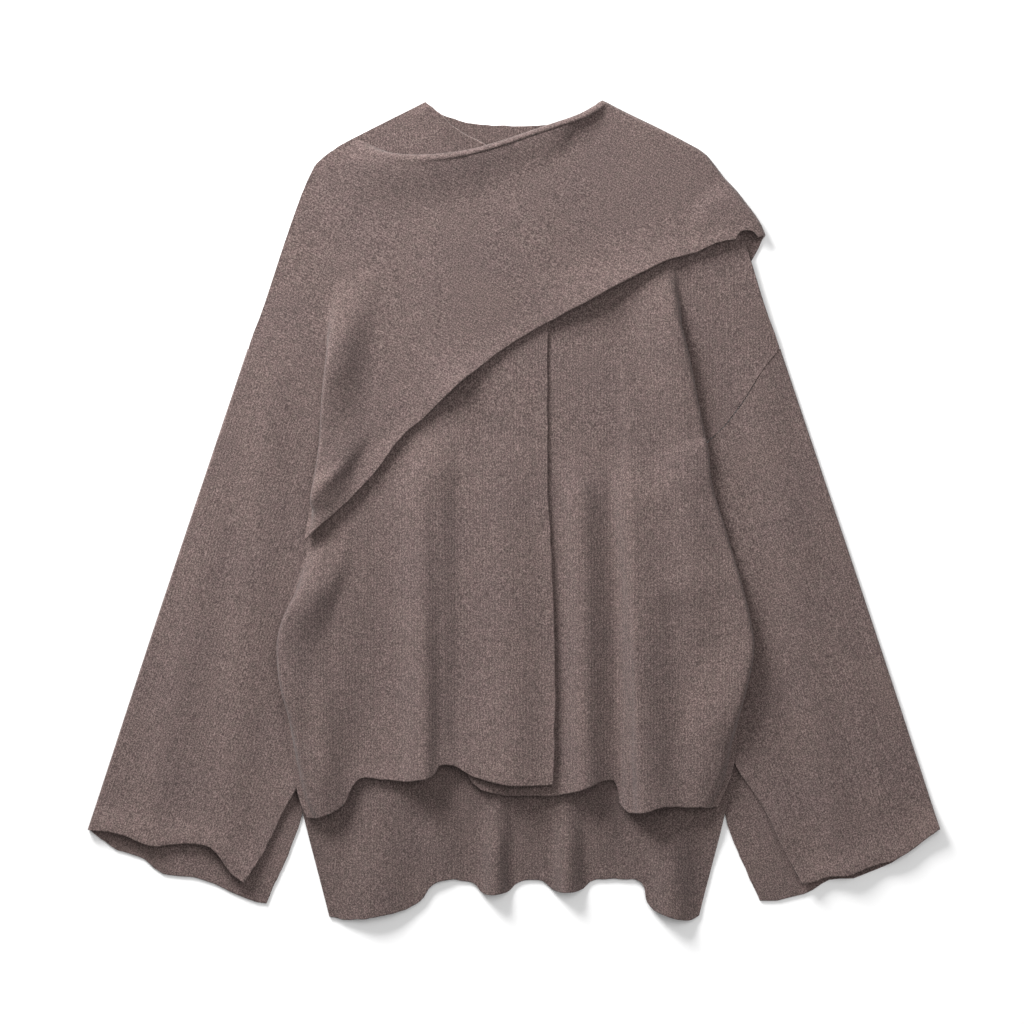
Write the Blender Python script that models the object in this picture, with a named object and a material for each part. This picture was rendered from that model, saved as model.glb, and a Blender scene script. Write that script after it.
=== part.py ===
"""A boxy knit jacket laid flat on its back, seen from above with the neck toward +Y.

Each cut piece is one sheet of felted knit. A sheet is a grid: its rows run from its inner side to its
outer side, and they follow each other from its top line to its bottom line. Its plan is filled between
four boundary lines, and its height is what lies under it plus its own standing folds. The tables hold
millimetres, with the neck's middle near x = 0, and the model is built in metres.
"""
import math

import bpy
import numpy as np

MM = 0.001

# Cloth.
WALL = 2.0
GAP = 0.5
PITCH = WALL + GAP
FLOOR_LAYER = WALL / 2
SEAM = 0.5
CLEAR = 0.4
STEEPEST = 0.45
FABRIC_COLOUR = (0.16, 0.117, 0.109)
FABRIC_ROUGHNESS = 0.95

# Square grid that the laid cloth is measured on, and how far upper cloth spans what it covers, in its cells.
CELL = 2.0
REACH_X = 420.0
REACH_Y = 400.0
SPREAD = 6
SOFTEN = 3
TAIL_SPREAD = 12
TAIL_SOFTEN = 8
WIDE_SPREAD = 10
WIDE_SOFTEN = 9


class Straight(list):
    """Points joined by straight lines, so that pieces on both sides of a seam share them."""


# Sleeve outlines for the side at +X, the wearer's left; the other side is mirrored. Columns: x, y.
ARMHOLE = Straight([(244, 148), (230, 131), (213, 102), (195, 78), (178, 62), (170, 37), (168, -5),
                    (171, -46)])
SEAM_IN_VIEW = 5
SLEEVE_INNER_BACK = {
    1: [(171, -46), (174, -120), (182, -185), (194, -279), (225, -359)],
    -1: [(171, -46), (174, -120), (182, -185), (194, -279), (228, -362)],
}
SLEEVE_INNER_TOP = {
    1: [(171, -46), (176, -120), (187, -195), (203, -235), (223, -262), (244, -303), (265, -343)],
    -1: [(171, -46), (176, -120), (187, -200), (202, -261), (208, -270), (227, -308), (248, -343)],
}
SLEEVE_OUTER = [(244, 148), (334, -120), (391, -294)]
CUFF_BACK = {
    1: [(225, -359), (244, -359), (276, -349), (290, -340), (311, -338), (351, -322), (390, -299)],
    -1: [(228, -362), (248, -357), (287, -339), (325, -334), (340, -321), (365, -313), (387, -299)],
}
CUFF_TOP = {
    1: [(265, -343), (280, -341), (290, -337), (305, -336), (328, -328), (351, -321), (373, -307),
        (392, -295)],
    -1: [(248, -343), (261, -333), (279, -310), (304, -307), (335, -309), (356, -300), (377, -295),
         (392, -294)],
}

# Body outlines, with their own sign of x. Columns: x, y.
NECK_BACK = [(-82, 375), (-67, 364), (-51, 359), (-35, 355), (-18, 353), (23, 354), (42, 354), (60, 358),
             (75, 365)]
SHOULDER_LEFT = [(75, 365), (94, 357), (130, 339), (152, 327), (168, 318), (176, 308), (197, 282),
                 (210, 256), (214, 243), (218, 229), (242.3, 149)]
SHOULDER_RIGHT = [(-82, 375), (-124, 354), (-153, 339), (-174, 327), (-185, 314), (-192, 299),
                  (-209, 252), (-225, 203), (-242.3, 149)]
NECK_RIGHT_FRONT = [(31, 290), (6, 315), (-24, 334), (-44, 345), (-59, 355), (-71, 367), (-82, 375)]
NECK_LEFT_FRONT = [(-44, 290), (-20, 312), (20, 335), (52, 350), (75, 365)]
FRONT_RIGHT_EDGE = [(31, 290), (31, 101), (31, 28), (36, -86), (38, -180), (36, -252)]
FRONT_LEFT_EDGE = [(-44, 290), (-45, 100), (-45, -100), (-44, -240)]
HEM_FRONT_RIGHT = [(36, -252), (12, -253), (-14, -251), (-31, -247), (-40, -243), (-52, -236), (-64, -234),
                   (-71, -236), (-75, -245), (-88, -248), (-106, -249), (-123, -247), (-141, -247),
                   (-151, -259), (-156, -269), (-173, -280), (-190, -283)]
HEM_FRONT_LEFT = [(-44, -240), (-35, -255), (-24, -259), (-7, -262), (36, -262), (64, -257), (85, -248),
                  (94, -250), (97, -268), (105, -277), (116, -278), (137, -273), (168, -273), (187, -273)]
HEM_BACK = [(-170, -373), (-155, -377), (-120, -373), (-88, -361), (-75, -345), (-60, -340), (-37, -343),
            (-27, -353), (-7, -352), (4, -343), (25, -341), (38, -350), (61, -350), (72, -341), (99, -339),
            (118, -343), (123, -362), (141, -374), (160, -377), (170, -373)]
SIDE_BACK_LEFT = [(172, -68), (188, -88), (205, -118), (212, -160), (210, -193), (203, -232),
                  (194, -279), (170, -373)]
SIDE_BACK_RIGHT = [(-172, -68), (-188, -88), (-204, -118), (-209, -165), (-206, -210), (-200, -250),
                   (-194, -279), (-170, -373)]
SIDE_FRONT_LEFT = [(178, 62), (180, 28), (193, -17), (213, -86), (219, -117), (220, -126), (217, -145),
                   (213, -164), (211, -188), (205, -215), (199, -246), (187, -273)]
SIDE_FRONT_RIGHT = [(-173, 62), (-167, 37), (-165, 12), (-176, -10), (-189, -26), (-198, -48), (-211, -98),
                    (-216, -115), (-217, -129), (-214, -164), (-210, -199), (-204, -235), (-197, -267),
                    (-190, -283)]

# The scarf, from its tip over the left shoulder round to the right armhole. Columns: x, y.
SCARF_SHOULDER = [(228, 252), (224, 262), (205, 288), (184, 316), (175, 327), (158, 337), (135, 349),
                  (98, 367), (83, 375)]
SCARF_NECK = [(83, 375), (64, 364), (41, 356), (17, 348), (-6, 340), (-29, 333), (-53, 328), (-88, 325),
              (-123, 328), (-150, 338)]
SCARF_RIGHT = [(-150, 338), (-174, 327), (-185, 314), (-192, 299), (-209, 252), (-225, 203), (-242.3, 149)]
SCARF_CREASE = [(-178, 62), (-182, 35), (-187, 7), (-192, -28)]
SCARF_TIP = [(218, 256.5), (209, 256), (204, 249)]
SCARF_HEM = [(204, 249), (190, 246.5), (166, 236), (139, 229), (98, 208), (76, 196), (36, 175), (8, 160),
             (-20, 140), (-53, 114), (-79, 88), (-102, 69), (-129, 33), (-150, 11), (-174, -11), (-192, -28)]

# Standing folds. Each runs from its start, where it has no height, to its end.
# Columns: start x, start y, end x, end y, width toward -x, width toward +x, height at the end.
FOLDS_BACK = [
    (-118, -170, -126, -360, 44, 44, 9), (-14, -170, -17, -352, 15, 17, 9),
    (44, -170, 50, -352, 16, 19, 9), (140, -190, 146, -374, 24, 26, 9),
]
FOLDS_FRONT_RIGHT = [
    (-84, 150, -81, -247, 30, 12, 11), (-4, 60, 2, -252, 42, 34, 6), (-172, -60, -172, -280, 22, 34, 8),
]
FOLDS_FRONT_LEFT = [
    (100, 230, 117, -276, 9, 46, 13), (56, 120, 62, -258, 22, 20, 5), (160, 160, 168, -120, 30, 30, 4),
]
FOLDS_SLEEVE = {
    1: [(206, 230, 300, -330, 26, 30, 3.2), (245, 60, 352, -310, 30, 26, 1.8)],
    -1: [(-205, 230, -270, -330, 30, 30, 2.6), (-262, 60, -340, -310, 26, 30, 2.2)],
}
SLEEVE_FOLD_RISE = 120.0

# Lines that the grid follows along the fronts' sharpest folds. Columns: x, y.
# The limits are the furthest out that they go, as a share of the row.
GUIDES_FRONT_LEFT = [[(91, 400), (108, -400)], [(100, 400), (117, -400)]]
GUIDES_FRONT_RIGHT = [[(-70, 400), (-69, -400)], [(-84, 400), (-81, -400)]]
GUIDE_LIMITS = (0.74, 0.8)

# Places where the scarf's raw edge stands clear. Columns: x, y, width in x, width in y, height.
LIFTS_SCARF = [(-50, 112, 26, 26, 5.0), (72, 194, 30, 26, 4.5)]
# The scarf's open loop: x, y, radius where it is even, fade round that, mid height.
TIP_LOOP = (206, 254, 32, 44, 12.5)

# Side tucks, by height up the jacket.
# Columns: y, turn of the fold in degrees, flat length tucked under, end of the cloth beyond the fold.
TUCK_FRONT_LEFT = [
    (240, 0, 0, 999), (222, 25, 1, 999), (195, 70, 2, 999), (165, 110, 3, 999), (130, 150, 4, 999),
    (96, 172, 7, 999), (68, 180, 9, 999), (62, 180, 9, 0), (52, 180, 13, -8), (37, 180, 19, -14),
    (-5, 180, 29, -26), (-46, 180, 38, -35), (-62, 180, 40, -37), (-86, 180, 21, -18), (-126, 175, 8, -4),
    (-164, 140, 3, 0), (-190, 100, 2, 0), (-215, 70, 1, 0), (-280, 40, 1, 0),
]
TUCK_FRONT_RIGHT = [
    (0, 0, 0, 999), (-20, 15, 1, 0), (-45, 40, 1, 0), (-70, 80, 2, 0), (-98, 140, 5, -2), (-129, 165, 6, -3),
    (-164, 140, 3, 0), (-199, 90, 1, 0), (-290, 40, 1, 0),
]
TUCK_SCARF = [
    (210, 0, 0, 999), (184, 35, 1, 999), (160, 75, 2, 999), (135, 120, 3, 999), (102, 165, 5, 999),
    (80, 178, 7, 999), (68, 180, 8, 999), (62, 180, 8, -2), (45, 180, 16, -13), (30, 180, 21, -18),
    (12, 150, 8, -5), (0, 100, 2, 0), (-15, 50, 1, 0), (-28, 30, 1, 0),
]
FOLD_LINE_FRONT_LEFT = [(145, 228), (149, 201), (153, 170), (160, 143), (169, 96), (176, 62), (190, 40),
                        (240, 0)]
FOLD_LINE_SCARF = [(-155, 250), (-161, 215), (-167, 184), (-172, 140), (-176, 102), (-178, 62), (-190, 40),
                   (-240, 0)]
FOLD_RADIUS = 3.2
HIDDEN_RADIUS = 1.5
FOLD_SPREAD = 45.0
FLAT_TURN = 5.0
LIP = 3.0

# Roll along the scarf's neck and shoulder edge, by place, a fraction of that edge from the tip.
# Columns: place, radius, turn in degrees, flat length under it, slant in degrees of the part underneath,
# share of the roll that stands above the cloth it lies on.
ROLL_SCARF = [
    (0.00, 3.7, 180, 44, 32, 0), (0.06, 3.7, 180, 46, 18, 0), (0.14, 3.7, 180, 50, 6, 0),
    (0.32, 3.7, 180, 50, 0, 0), (0.37, 3.7, 180, 40, 0, 0), (0.405, 3.7, 180, 4, 0, 0),
    (0.425, 3.6, 175, 4, 0, 0), (0.45, 3.2, 120, 4, 0, 0.3), (0.49, 3.0, 125, 4, 0, 0.75),
    (0.54, 3.2, 160, 5, 0, 1), (0.75, 3.4, 165, 7, 0, 1), (0.88, 2.8, 120, 4, 0, 1),
    (0.96, 1.8, 50, 4, 0, 1), (1.00, 1.2, 20, 4, 0, 1),
]
TAIL_END = 0.437
TAIL_EVEN = 0.08
TAIL_MARGIN = 5.0
ROLL_INSET = 3.6
ROLL_FADE = 24.0
SCARF_STEP_FADE = 42.0

# Below this y the sleeves lie under the back, the left front, the right front and the scarf.
WEDGE_TOP_BACK = -62.0
WEDGE_TOP_FRONT_LEFT = -58.0
WEDGE_TOP_FRONT_RIGHT = 6.0
WEDGE_TOP_SCARF = 12.0
WEDGE_TOP_TUCKS = 58.0


def smooth_line(points, step=2.0):
    """Points every step along a smooth curve through the given points."""
    pts = np.array(points, float)
    ends = np.vstack([2 * pts[0] - pts[1], pts, 2 * pts[-1] - pts[-2]])
    out = [pts[0]]
    for four in zip(ends[:-3], ends[1:-2], ends[2:-1], ends[3:]):
        knots = np.cumsum([0.0] + [max(np.linalg.norm(q - p), 1e-6) ** 0.5 for p, q in zip(four, four[1:])])
        count = max(2, int(np.linalg.norm(four[2] - four[1]) / step) + 1)
        for t in np.linspace(knots[1], knots[2], count + 1)[1:]:
            level = list(four)
            for reach, first in ((1, (0, 1, 2)), (2, (0, 1))):
                level = [blend(level[k], level[k + 1], knots[k], knots[k + reach], t) for k in first]
            out.append(blend(level[0], level[1], knots[1], knots[2], t))
    return np.array(out)


def blend(p, q, start, end, t):
    """The point between p at start and q at end that belongs to t."""
    return ((end - t) * p + (t - start) * q) / (end - start)


def line(*stretches):
    """A boundary line of stretches that meet at corners, as a function of its fraction.

    Its stations are the fractions of the corners and of every point of a straight stretch.
    """
    parts = [np.array(s, float) if isinstance(s, Straight) else smooth_line(s) for s in stretches]
    dense = np.vstack(parts)
    run = np.r_[0.0, np.cumsum(np.linalg.norm(np.diff(dense, axis=0), axis=1))]
    marked, count = [], 0
    for part, stretch in zip(parts, stretches):
        last = count + len(part) - 1
        marked += range(count, last + 1) if isinstance(stretch, Straight) else [count, last]
        count = last + 1

    def at(fraction):
        place = np.asarray(fraction) * run[-1]
        return np.stack([np.interp(place, run, dense[:, 0]), np.interp(place, run, dense[:, 1])], axis=-1)

    at.stations = np.unique(np.round(run[marked] / run[-1], 9))
    return at


def inset(points, distance, side):
    """A line moved sideways in plan; side is +1 for the left of its direction, -1 for the right."""
    straight = isinstance(points, Straight)
    pts = np.array(points, float) if straight else smooth_line(points, 8.0)
    along = np.gradient(pts, axis=0)
    along /= np.linalg.norm(along, axis=1)[:, None]
    moved = [tuple(p) for p in pts + side * distance * np.stack([-along[:, 1], along[:, 0]], axis=1)]
    return Straight(moved) if straight else moved


def mirrored(points):
    return type(points)((-x, y) for x, y in points)


def plan_of(inner, outer, top, bottom):
    """Fills the plan between four boundary lines; f runs from inner to outer, v from top to bottom."""
    corner = {(a, b): (inner, outer)[a](float(b)) for a in (0, 1) for b in (0, 1)}

    def plan(f, v):
        f, v = np.broadcast_arrays(np.asarray(f, float), np.asarray(v, float))
        g, w = f[..., None], v[..., None]
        sides = (1 - w) * top(f) + w * bottom(f) + (1 - g) * inner(v) + g * outer(v)
        corners = ((1 - g) * (1 - w) * corner[0, 0] + g * (1 - w) * corner[1, 0]
                   + (1 - g) * w * corner[0, 1] + g * w * corner[1, 1])
        return sides - corners

    return plan


def ease(t):
    t = np.clip(t, 0.0, 1.0)
    return t * t * (3 - 2 * t)


def folds(x, y, table, rise=None):
    """Height of the standing folds at x, y."""
    height = np.zeros(np.broadcast(x, y).shape)
    for x0, y0, x1, y1, left, right, top in table:
        along = (y0 - y) / (y0 - y1)
        off = x - (x0 + (x1 - x0) * along)
        width = np.where(off < 0, left, right)
        bump = 0.5 + 0.5 * np.cos(np.pi * np.clip(off / width, -1, 1))
        grown = ease(along * (y0 - y1) / rise) if rise else ease(along)
        height = height + top * bump * grown
    return height


FACET_CORNERS = (np.s_[:-1, :-1], np.s_[:-1, 1:], np.s_[1:, :-1], np.s_[1:, 1:])


class HeightMap:
    """Highest point of the cloth laid so far, on a square grid over the floor."""

    def __init__(self):
        self.top = np.zeros((int(2 * REACH_Y / CELL) + 1, int(2 * REACH_X / CELL) + 1))

    def copy(self):
        other = HeightMap()
        other.top = self.top.copy()
        return other

    def lay(self, mid, keep=None):
        """Adds a sheet, both faces of its wall, where keep(x, y) allows."""
        for offset in (-WALL / 2, WALL / 2):
            self.add(surface_of(mid, offset), keep)

    def add(self, surface, keep=None):
        for axis in (0, 1):
            spacing = np.linalg.norm(np.diff(surface, axis=axis), axis=-1).max(axis=1 - axis)
            pieces = []
            for i, gap in enumerate(spacing):
                count = max(1, int(gap / (0.7 * CELL)) + 1)
                a, b = np.take(surface, i, axis), np.take(surface, i + 1, axis)
                pieces += [a + (b - a) * k / count for k in range(count)]
            pieces.append(np.take(surface, surface.shape[axis] - 1, axis))
            surface = np.stack(pieces, axis=axis)
        x, y, z = surface[..., 0].ravel(), surface[..., 1].ravel(), surface[..., 2].ravel()
        if keep is not None:
            chosen = keep(x, y)
            x, y, z = x[chosen], y[chosen], z[chosen]
        row = np.rint((y + REACH_Y) / CELL).astype(int)
        col = np.rint((x + REACH_X) / CELL).astype(int)
        np.maximum.at(self.top, (row, col), z)

    def over(self, x, y):
        """Highest cloth in the four cells round x, y."""
        c = np.floor((x + REACH_X) / CELL).astype(int)
        r = np.floor((y + REACH_Y) / CELL).astype(int)
        return np.maximum.reduce([self.top[r + k, c + m] for k in (0, 1) for m in (0, 1)])

    def short(self, grid, samples=11):
        """How far each facet of a grid has to rise to clear this cloth, with its worst place in it."""
        a, b, c, d = grid[:-1, :-1], grid[:-1, 1:], grid[1:, :-1], grid[1:, 1:]
        normal = np.cross(d - a, b - c)
        tilt = np.abs(normal[..., 2]) / np.maximum(np.linalg.norm(normal, axis=-1), 1e-9)
        half = WALL / 2 / np.maximum(tilt, STEEPEST)
        for u in np.linspace(0, 1, samples):
            for w in np.linspace(0, 1, samples):
                share = ((1 - u) * (1 - w), (1 - u) * w, u * (1 - w), u * w)
                p = share[0] * a + share[1] * b + share[2] * c + share[3] * d
                one = a + u * (c - a) + w * (d - c) if u > w else a + w * (b - a) + u * (d - b)
                two = a + u * (c - a) + w * (b - a) if u + w < 1 else d + (1 - u) * (b - d) + (1 - w) * (c - d)
                top = self.over(p[..., 0], p[..., 1])
                need = top + half + CLEAR * np.clip(top, 0, 1)
                yield share, np.maximum(need - np.minimum(one[..., 2], two[..., 2]), 0)

    def settle(self, grid, passes=14):
        """Raises the corners of every facet that would touch this cloth."""
        for _ in range(passes):
            lift = np.zeros(grid.shape[:2])
            for share, short in self.short(grid):
                for weight, corner in zip(share, FACET_CORNERS):
                    lift[corner] = np.maximum(lift[corner], weight * short)
            grid[..., 2] += lift

    def drape(self, spread=SPREAD, soften=SOFTEN):
        """Mid height of a sheet laid on top: spread, softened and clear of what it covers."""
        wide = self.top
        for axis in (0, 1):
            wide = np.max([np.roll(wide, k, axis) for k in range(-spread, spread + 1)], axis=0)
        for axis in (0, 1):
            wide = np.mean([np.roll(wide, k, axis) for k in range(-soften, soften + 1)], axis=0)
        lifted = wide + GAP * np.clip(wide / WALL, 0, 1) + WALL / 2

        def at(x, y):
            col, row = (x + REACH_X) / CELL, (y + REACH_Y) / CELL
            c, r = np.floor(col).astype(int), np.floor(row).astype(int)
            u, w = col - c, row - r
            low = lifted[r, c] * (1 - u) + lifted[r, c + 1] * u
            high = lifted[r + 1, c] * (1 - u) + lifted[r + 1, c + 1] * u
            return low * (1 - w) + high * w

        return at


def surface_of(mid, offset):
    """A sheet's grid of points moved along its normals."""
    across = np.gradient(mid, axis=0)
    along = np.gradient(mid, axis=1)
    normal = np.cross(across, along)
    normal /= np.maximum(np.linalg.norm(normal, axis=-1), 1e-9)[..., None]
    middle = normal[normal.shape[0] // 2, normal.shape[1] // 2, 2]
    return mid + normal * offset * (1 if middle > 0 else -1)


def table_at(table, key, column):
    rows = sorted(table, key=lambda row: row[0])
    return float(np.interp(key, [row[0] for row in rows], [row[column] for row in rows]))


def crossing(plan, v, fold_line, outward):
    """Fraction along row v where it meets the fold line, or 1 if it stays inside."""
    f = np.linspace(0, 1, 500)
    pts = plan(f, v)
    rows = sorted(fold_line, key=lambda p: p[1])
    over = outward * (pts[:, 0] - np.interp(pts[:, 1], [p[1] for p in rows], [p[0] for p in rows]))
    hit = np.where(over > 0)[0]
    if len(hit) == 0 or hit[0] == 0:
        return 1.0
    i = hit[0]
    return f[i - 1] + (f[i] - f[i - 1]) * over[i - 1] / (over[i - 1] - over[i])


def fold_profile(turn, tuck, beyond, ends, at_edge, bends=5, hidden_bends=3):
    """Section of a side fold: out, down round the fold, back under, round the hidden fold, out again.

    Gives distances outward and heights from the fold's start, and the outward reach of the fold.
    """
    angle = math.radians(turn)
    steps = []
    for k in range(bends):
        steps.append((math.pi * FOLD_RADIUS / bends, -angle * (k + 0.5) / bends))
    steps.append((tuck + 0.4, -angle))
    for k in range(hidden_bends):
        steps.append((math.pi * HIDDEN_RADIUS / hidden_bends, -angle * (1 - (k + 0.5) / hidden_bends)))
    out, up = [0.0], [0.0]
    for length, heading in steps:
        out.append(out[-1] + length * math.cos(heading))
        up.append(up[-1] + length * math.sin(heading))
    reach = max(out[:bends + 1]) if turn >= 90 else out[bends]
    last = beyond(out[-1] - reach)
    for k in range(ends):
        out.append(out[-1] + last / ends)
        up.append(up[-1])
    if at_edge:
        reach = max(out)
    return np.array(out), np.array(up) - up[-1], reach


def body_panel(plan, rows, guides, counts, top_z, base_z, tuck_table, fold_line, outward, cloth, ends=4):
    """Grid of a front or the scarf: a draped inner part, then its side fold, clear of the cloth below.

    The counts give the columns before, between and after the guide lines, up to the side fold.
    """
    count = sum(counts)
    raised_by = np.zeros(len(rows))
    for _ in range(4):
        grid = np.array([panel_row(plan, v, guides, counts, top_z, base_z, tuck_table, fold_line, outward, ends,
                                   rise) for v, rise in zip(rows, raised_by)])
        worst = np.max([short.max(axis=1) for _, short in cloth.short(grid[:, count:])], axis=0)
        raised_by += np.maximum(np.r_[worst, 0], np.r_[0, worst])
    inner = grid[:, :count + 1]
    cloth.settle(inner)
    return grid


def panel_row(plan, v, guides, counts, top_z, base_z, tuck_table, fold_line, outward, ends, rise):
    """One row of a front or the scarf, from its inner edge out through the side fold."""
    f_fold = crossing(plan, v, fold_line, outward) if fold_line else 1.0
    probe = plan(np.linspace(0, 1, 200), v)
    run = np.r_[0, np.cumsum(np.linalg.norm(np.diff(probe, axis=0), axis=1))]
    total = run[-1]
    q_fold = np.interp(f_fold, np.linspace(0, 1, 200), run)
    turn, tuck, end = (table_at(tuck_table, plan(f_fold, v)[1], c) for c in (1, 2, 3))

    def beyond(hidden_off):
        target = min(total - SEAM, q_fold + end)
        return max(LIP, target - (q_fold + hidden_off))

    out, up, reach = fold_profile(turn, tuck, beyond, ends, f_fold >= 1)
    q_start = q_fold - reach
    if turn < FLAT_TURN:
        out = out * (total - SEAM - q_start) / out[-1]
    marks = [min(np.interp(crossing(plan, v, guide, outward), np.linspace(0, 1, 200), run), q_start * limit)
             for guide, limit in zip(guides, GUIDE_LIMITS)]
    q = np.r_[between(np.array([0.0, *marks, q_start]), counts)[:-1], q_start + out]
    over = np.maximum(q - total, 0)
    xy = plan(np.interp(np.minimum(q, total), run, np.linspace(0, 1, 200)), v)
    ahead = probe[-1] - probe[-2]
    xy = xy + over[:, None] * ahead / np.linalg.norm(ahead)
    count = sum(counts)
    z = base_z(xy[:, 0], xy[:, 1]) + rise + np.r_[np.zeros(count), up]
    draped = top_z(xy[:, 0], xy[:, 1])
    inward = np.clip((q_start - q[:count] - tuck) / FOLD_SPREAD, 0, 1)
    z[:count] = draped[:count] + (z[count] - draped[count]) * (1 - ease(inward))
    return np.column_stack([xy, z])


def knit_material(name):
    """Brown-grey felted knit."""
    fabric = bpy.data.materials.new(name)
    fabric.use_nodes = True
    surface = fabric.node_tree.nodes["Principled BSDF"]
    surface.inputs["Base Color"].default_value = (*FABRIC_COLOUR, 1.0)
    surface.inputs["Roughness"].default_value = FABRIC_ROUGHNESS
    surface.inputs["Metallic"].default_value = 0.0
    return fabric


def make_sheet(name, mid):
    """The cloth of one cut piece, as a wall round its middle surface."""
    row_count, col_count = mid.shape[:2]
    faces = []
    for i in range(row_count - 1):
        for j in range(col_count - 1):
            a = i * col_count + j
            faces.append((a, a + 1, a + col_count + 1, a + col_count))
    mesh = bpy.data.meshes.new(name)
    mesh.from_pydata([tuple(p * MM) for p in mid.reshape(-1, 3)], [], faces)
    mesh.update()
    i, j = row_count // 2, col_count // 2
    if np.cross(mid[i, j + 1] - mid[i, j], mid[i + 1, j] - mid[i, j])[2] > 0:
        mesh.flip_normals()
    mesh.shade_smooth()
    mesh.materials.append(knit_material("knit_" + name))
    piece = bpy.data.objects.new(name, mesh)
    bpy.context.collection.objects.link(piece)
    wall = piece.modifiers.new("wall", "SOLIDIFY")
    wall.thickness = WALL * MM
    wall.offset = 0.0
    wall.use_even_offset = False
    return piece


def sleeve_form(side):
    """Mid height of a sleeve's upper layer, and of the shoulder cloth that runs into it."""

    def at(x, y):
        height = FLOOR_LAYER + PITCH + folds(x, y, FOLDS_SLEEVE[side], SLEEVE_FOLD_RISE)
        if side < 0:
            (x0, y0), (x1, y1) = ARMHOLE[0], ARMHOLE[4]
            away = ((-x - x1) * (y0 - y1) - (y - y1) * (x0 - x1)) / math.hypot(x0 - x1, y0 - y1)
            height = height + PITCH * ease(1 - away / SCARF_STEP_FADE)
        return height

    return at


def sleeve(side, rows, back_cols, top_cols, bend_cols):
    """One cloth round the arm: up the back layer, round the outer fold, back over the upper layer."""
    sign = np.array([side, 1.0])
    form = sleeve_form(side)
    outer = line(inset(SLEEVE_OUTER, PITCH / 2, -1))
    armhole = line(Straight(ARMHOLE[:0:-1] + [tuple(outer(0.0))]))
    layers = []
    for inner, cuff, height in ((SLEEVE_INNER_BACK[side], CUFF_BACK[side], None),
                                (SLEEVE_INNER_TOP[side], CUFF_TOP[side], form)):
        end = outer(1.0)
        hem = line(cuff[:-1] + [tuple(end)])
        plan = plan_of(line(inner), outer, armhole, hem)
        cols = between(armhole.stations, back_cols if height is None else top_cols)
        xy = plan(cols[None, :], rows[:, None]) * sign
        z = np.full(xy.shape[:2], FLOOR_LAYER) if height is None else height(xy[..., 0], xy[..., 1])
        layers.append(np.dstack([xy, z]))
    back, top = layers
    top = top[:, ::-1]
    low, high = back[:, -1], top[:, 0]
    along = np.gradient(low[:, :2], axis=0)
    along /= np.linalg.norm(along, axis=1)[:, None]
    out = np.stack([-along[:, 1], along[:, 0], np.zeros(len(along))], axis=1) * side
    bend = []
    for angle in np.linspace(0, math.pi, bend_cols + 2)[1:-1]:
        middle, half = (low + high) / 2, (high - low) / 2
        bend.append(middle - half * math.cos(angle) + out * (PITCH / 2 * math.sin(angle)))
    return np.concatenate([back, np.stack(bend, axis=1), top], axis=1)


def edge_frame(top_line, place):
    """A point of a top line that runs toward -x, and the plan direction into the cloth there."""
    a, b = top_line(max(place - 0.01, 0.0)), top_line(min(place + 0.01, 1.0))
    along = (b - a) / np.linalg.norm(b - a)
    return top_line(place), np.array([-along[1], along[0]])


def tail_direction(top_line, place):
    """Plan direction of the part behind the shoulder, evened out along the edge."""
    a, b = top_line(max(place - TAIL_EVEN, 0.0)), top_line(min(place + TAIL_EVEN, 1.0))
    along = (b - a) / np.linalg.norm(b - a)
    return turned(np.array([-along[1], along[0]]), table_at(ROLL_SCARF, place, 4))


def turned(direction, degrees):
    c, s = math.cos(math.radians(degrees)), math.sin(math.radians(degrees))
    return np.array([direction[0] * c - direction[1] * s, direction[0] * s + direction[1] * c])


def tail_surface(top_line, places):
    """Upper surface of the scarf's part behind the left shoulder, which lies on the floor."""
    grid = []
    for place in places:
        point, under = top_line(place), tail_direction(top_line, place)
        length = table_at(ROLL_SCARF, place, 3) + TAIL_MARGIN
        grid.append([(*(point + under * length * k / 4), WALL) for k in range(5)])
    return np.array(grid)


def roll_section(place, start_z, bends, unders):
    """Section of the scarf's edge roll: distances outward and heights from its start."""
    radius, turn, tuck = (table_at(ROLL_SCARF, place, c) for c in (1, 2, 3))
    if place < TAIL_END:
        radius = (start_z - FLOOR_LAYER) / 2
    step = math.radians(turn) / bends
    chord = 2 * radius * (math.pi / math.radians(turn)) * math.sin(step / 2)
    out, up = [0.0], [0.0]
    for k in range(bends):
        out.append(out[-1] + chord * math.cos(step * (k + 0.5)))
        up.append(up[-1] - chord * math.sin(step * (k + 0.5)))
    for k in range(unders):
        out.append(out[-1] + tuck / unders * math.cos(math.radians(turn)))
        up.append(up[-1] - tuck / unders * math.sin(math.radians(turn)))
    return np.array(out), np.array(up)


def with_roll(main, top_line, places, bends=6, unders=3):
    """Adds the roll along the neck and the wrap round the left shoulder to the scarf's grid."""
    rolled = np.zeros((bends + unders, main.shape[1], 3))
    for j, place in enumerate(places):
        share = table_at(ROLL_SCARF, place, 5)
        _, fall = roll_section(place, main[0, j, 2], bends, unders)
        away = np.r_[0, np.cumsum(np.linalg.norm(np.diff(main[:, j, :2], axis=0), axis=1))]
        main[:, j, 2] -= share * fall[-1] * (1 - ease(away / ROLL_FADE))
        start = main[0, j]
        out, up = roll_section(place, start[2], bends, unders)
        _, inward = edge_frame(top_line, place)
        under = tail_direction(top_line, place)
        widest = out.max()
        for k in range(bends + unders):
            if out[k + 1] >= widest - 1e-9 or k + 1 <= bends // 2:
                plan = start[:2] - inward * out[k + 1]
            else:
                plan = start[:2] - inward * widest + under * (widest - out[k + 1])
            rolled[k, j] = (*plan, max(start[2] + up[k + 1], FLOOR_LAYER))
    return np.concatenate([rolled[::-1], main], axis=0)


def scarf_lift(x, y):
    """Height of the places where the scarf's raw edge stands clear of the cloth under it."""
    return sum(top * np.exp(-((x - px) / wx) ** 2 - ((y - py) / wy) ** 2) for px, py, wx, wy, top in LIFTS_SCARF)


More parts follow.
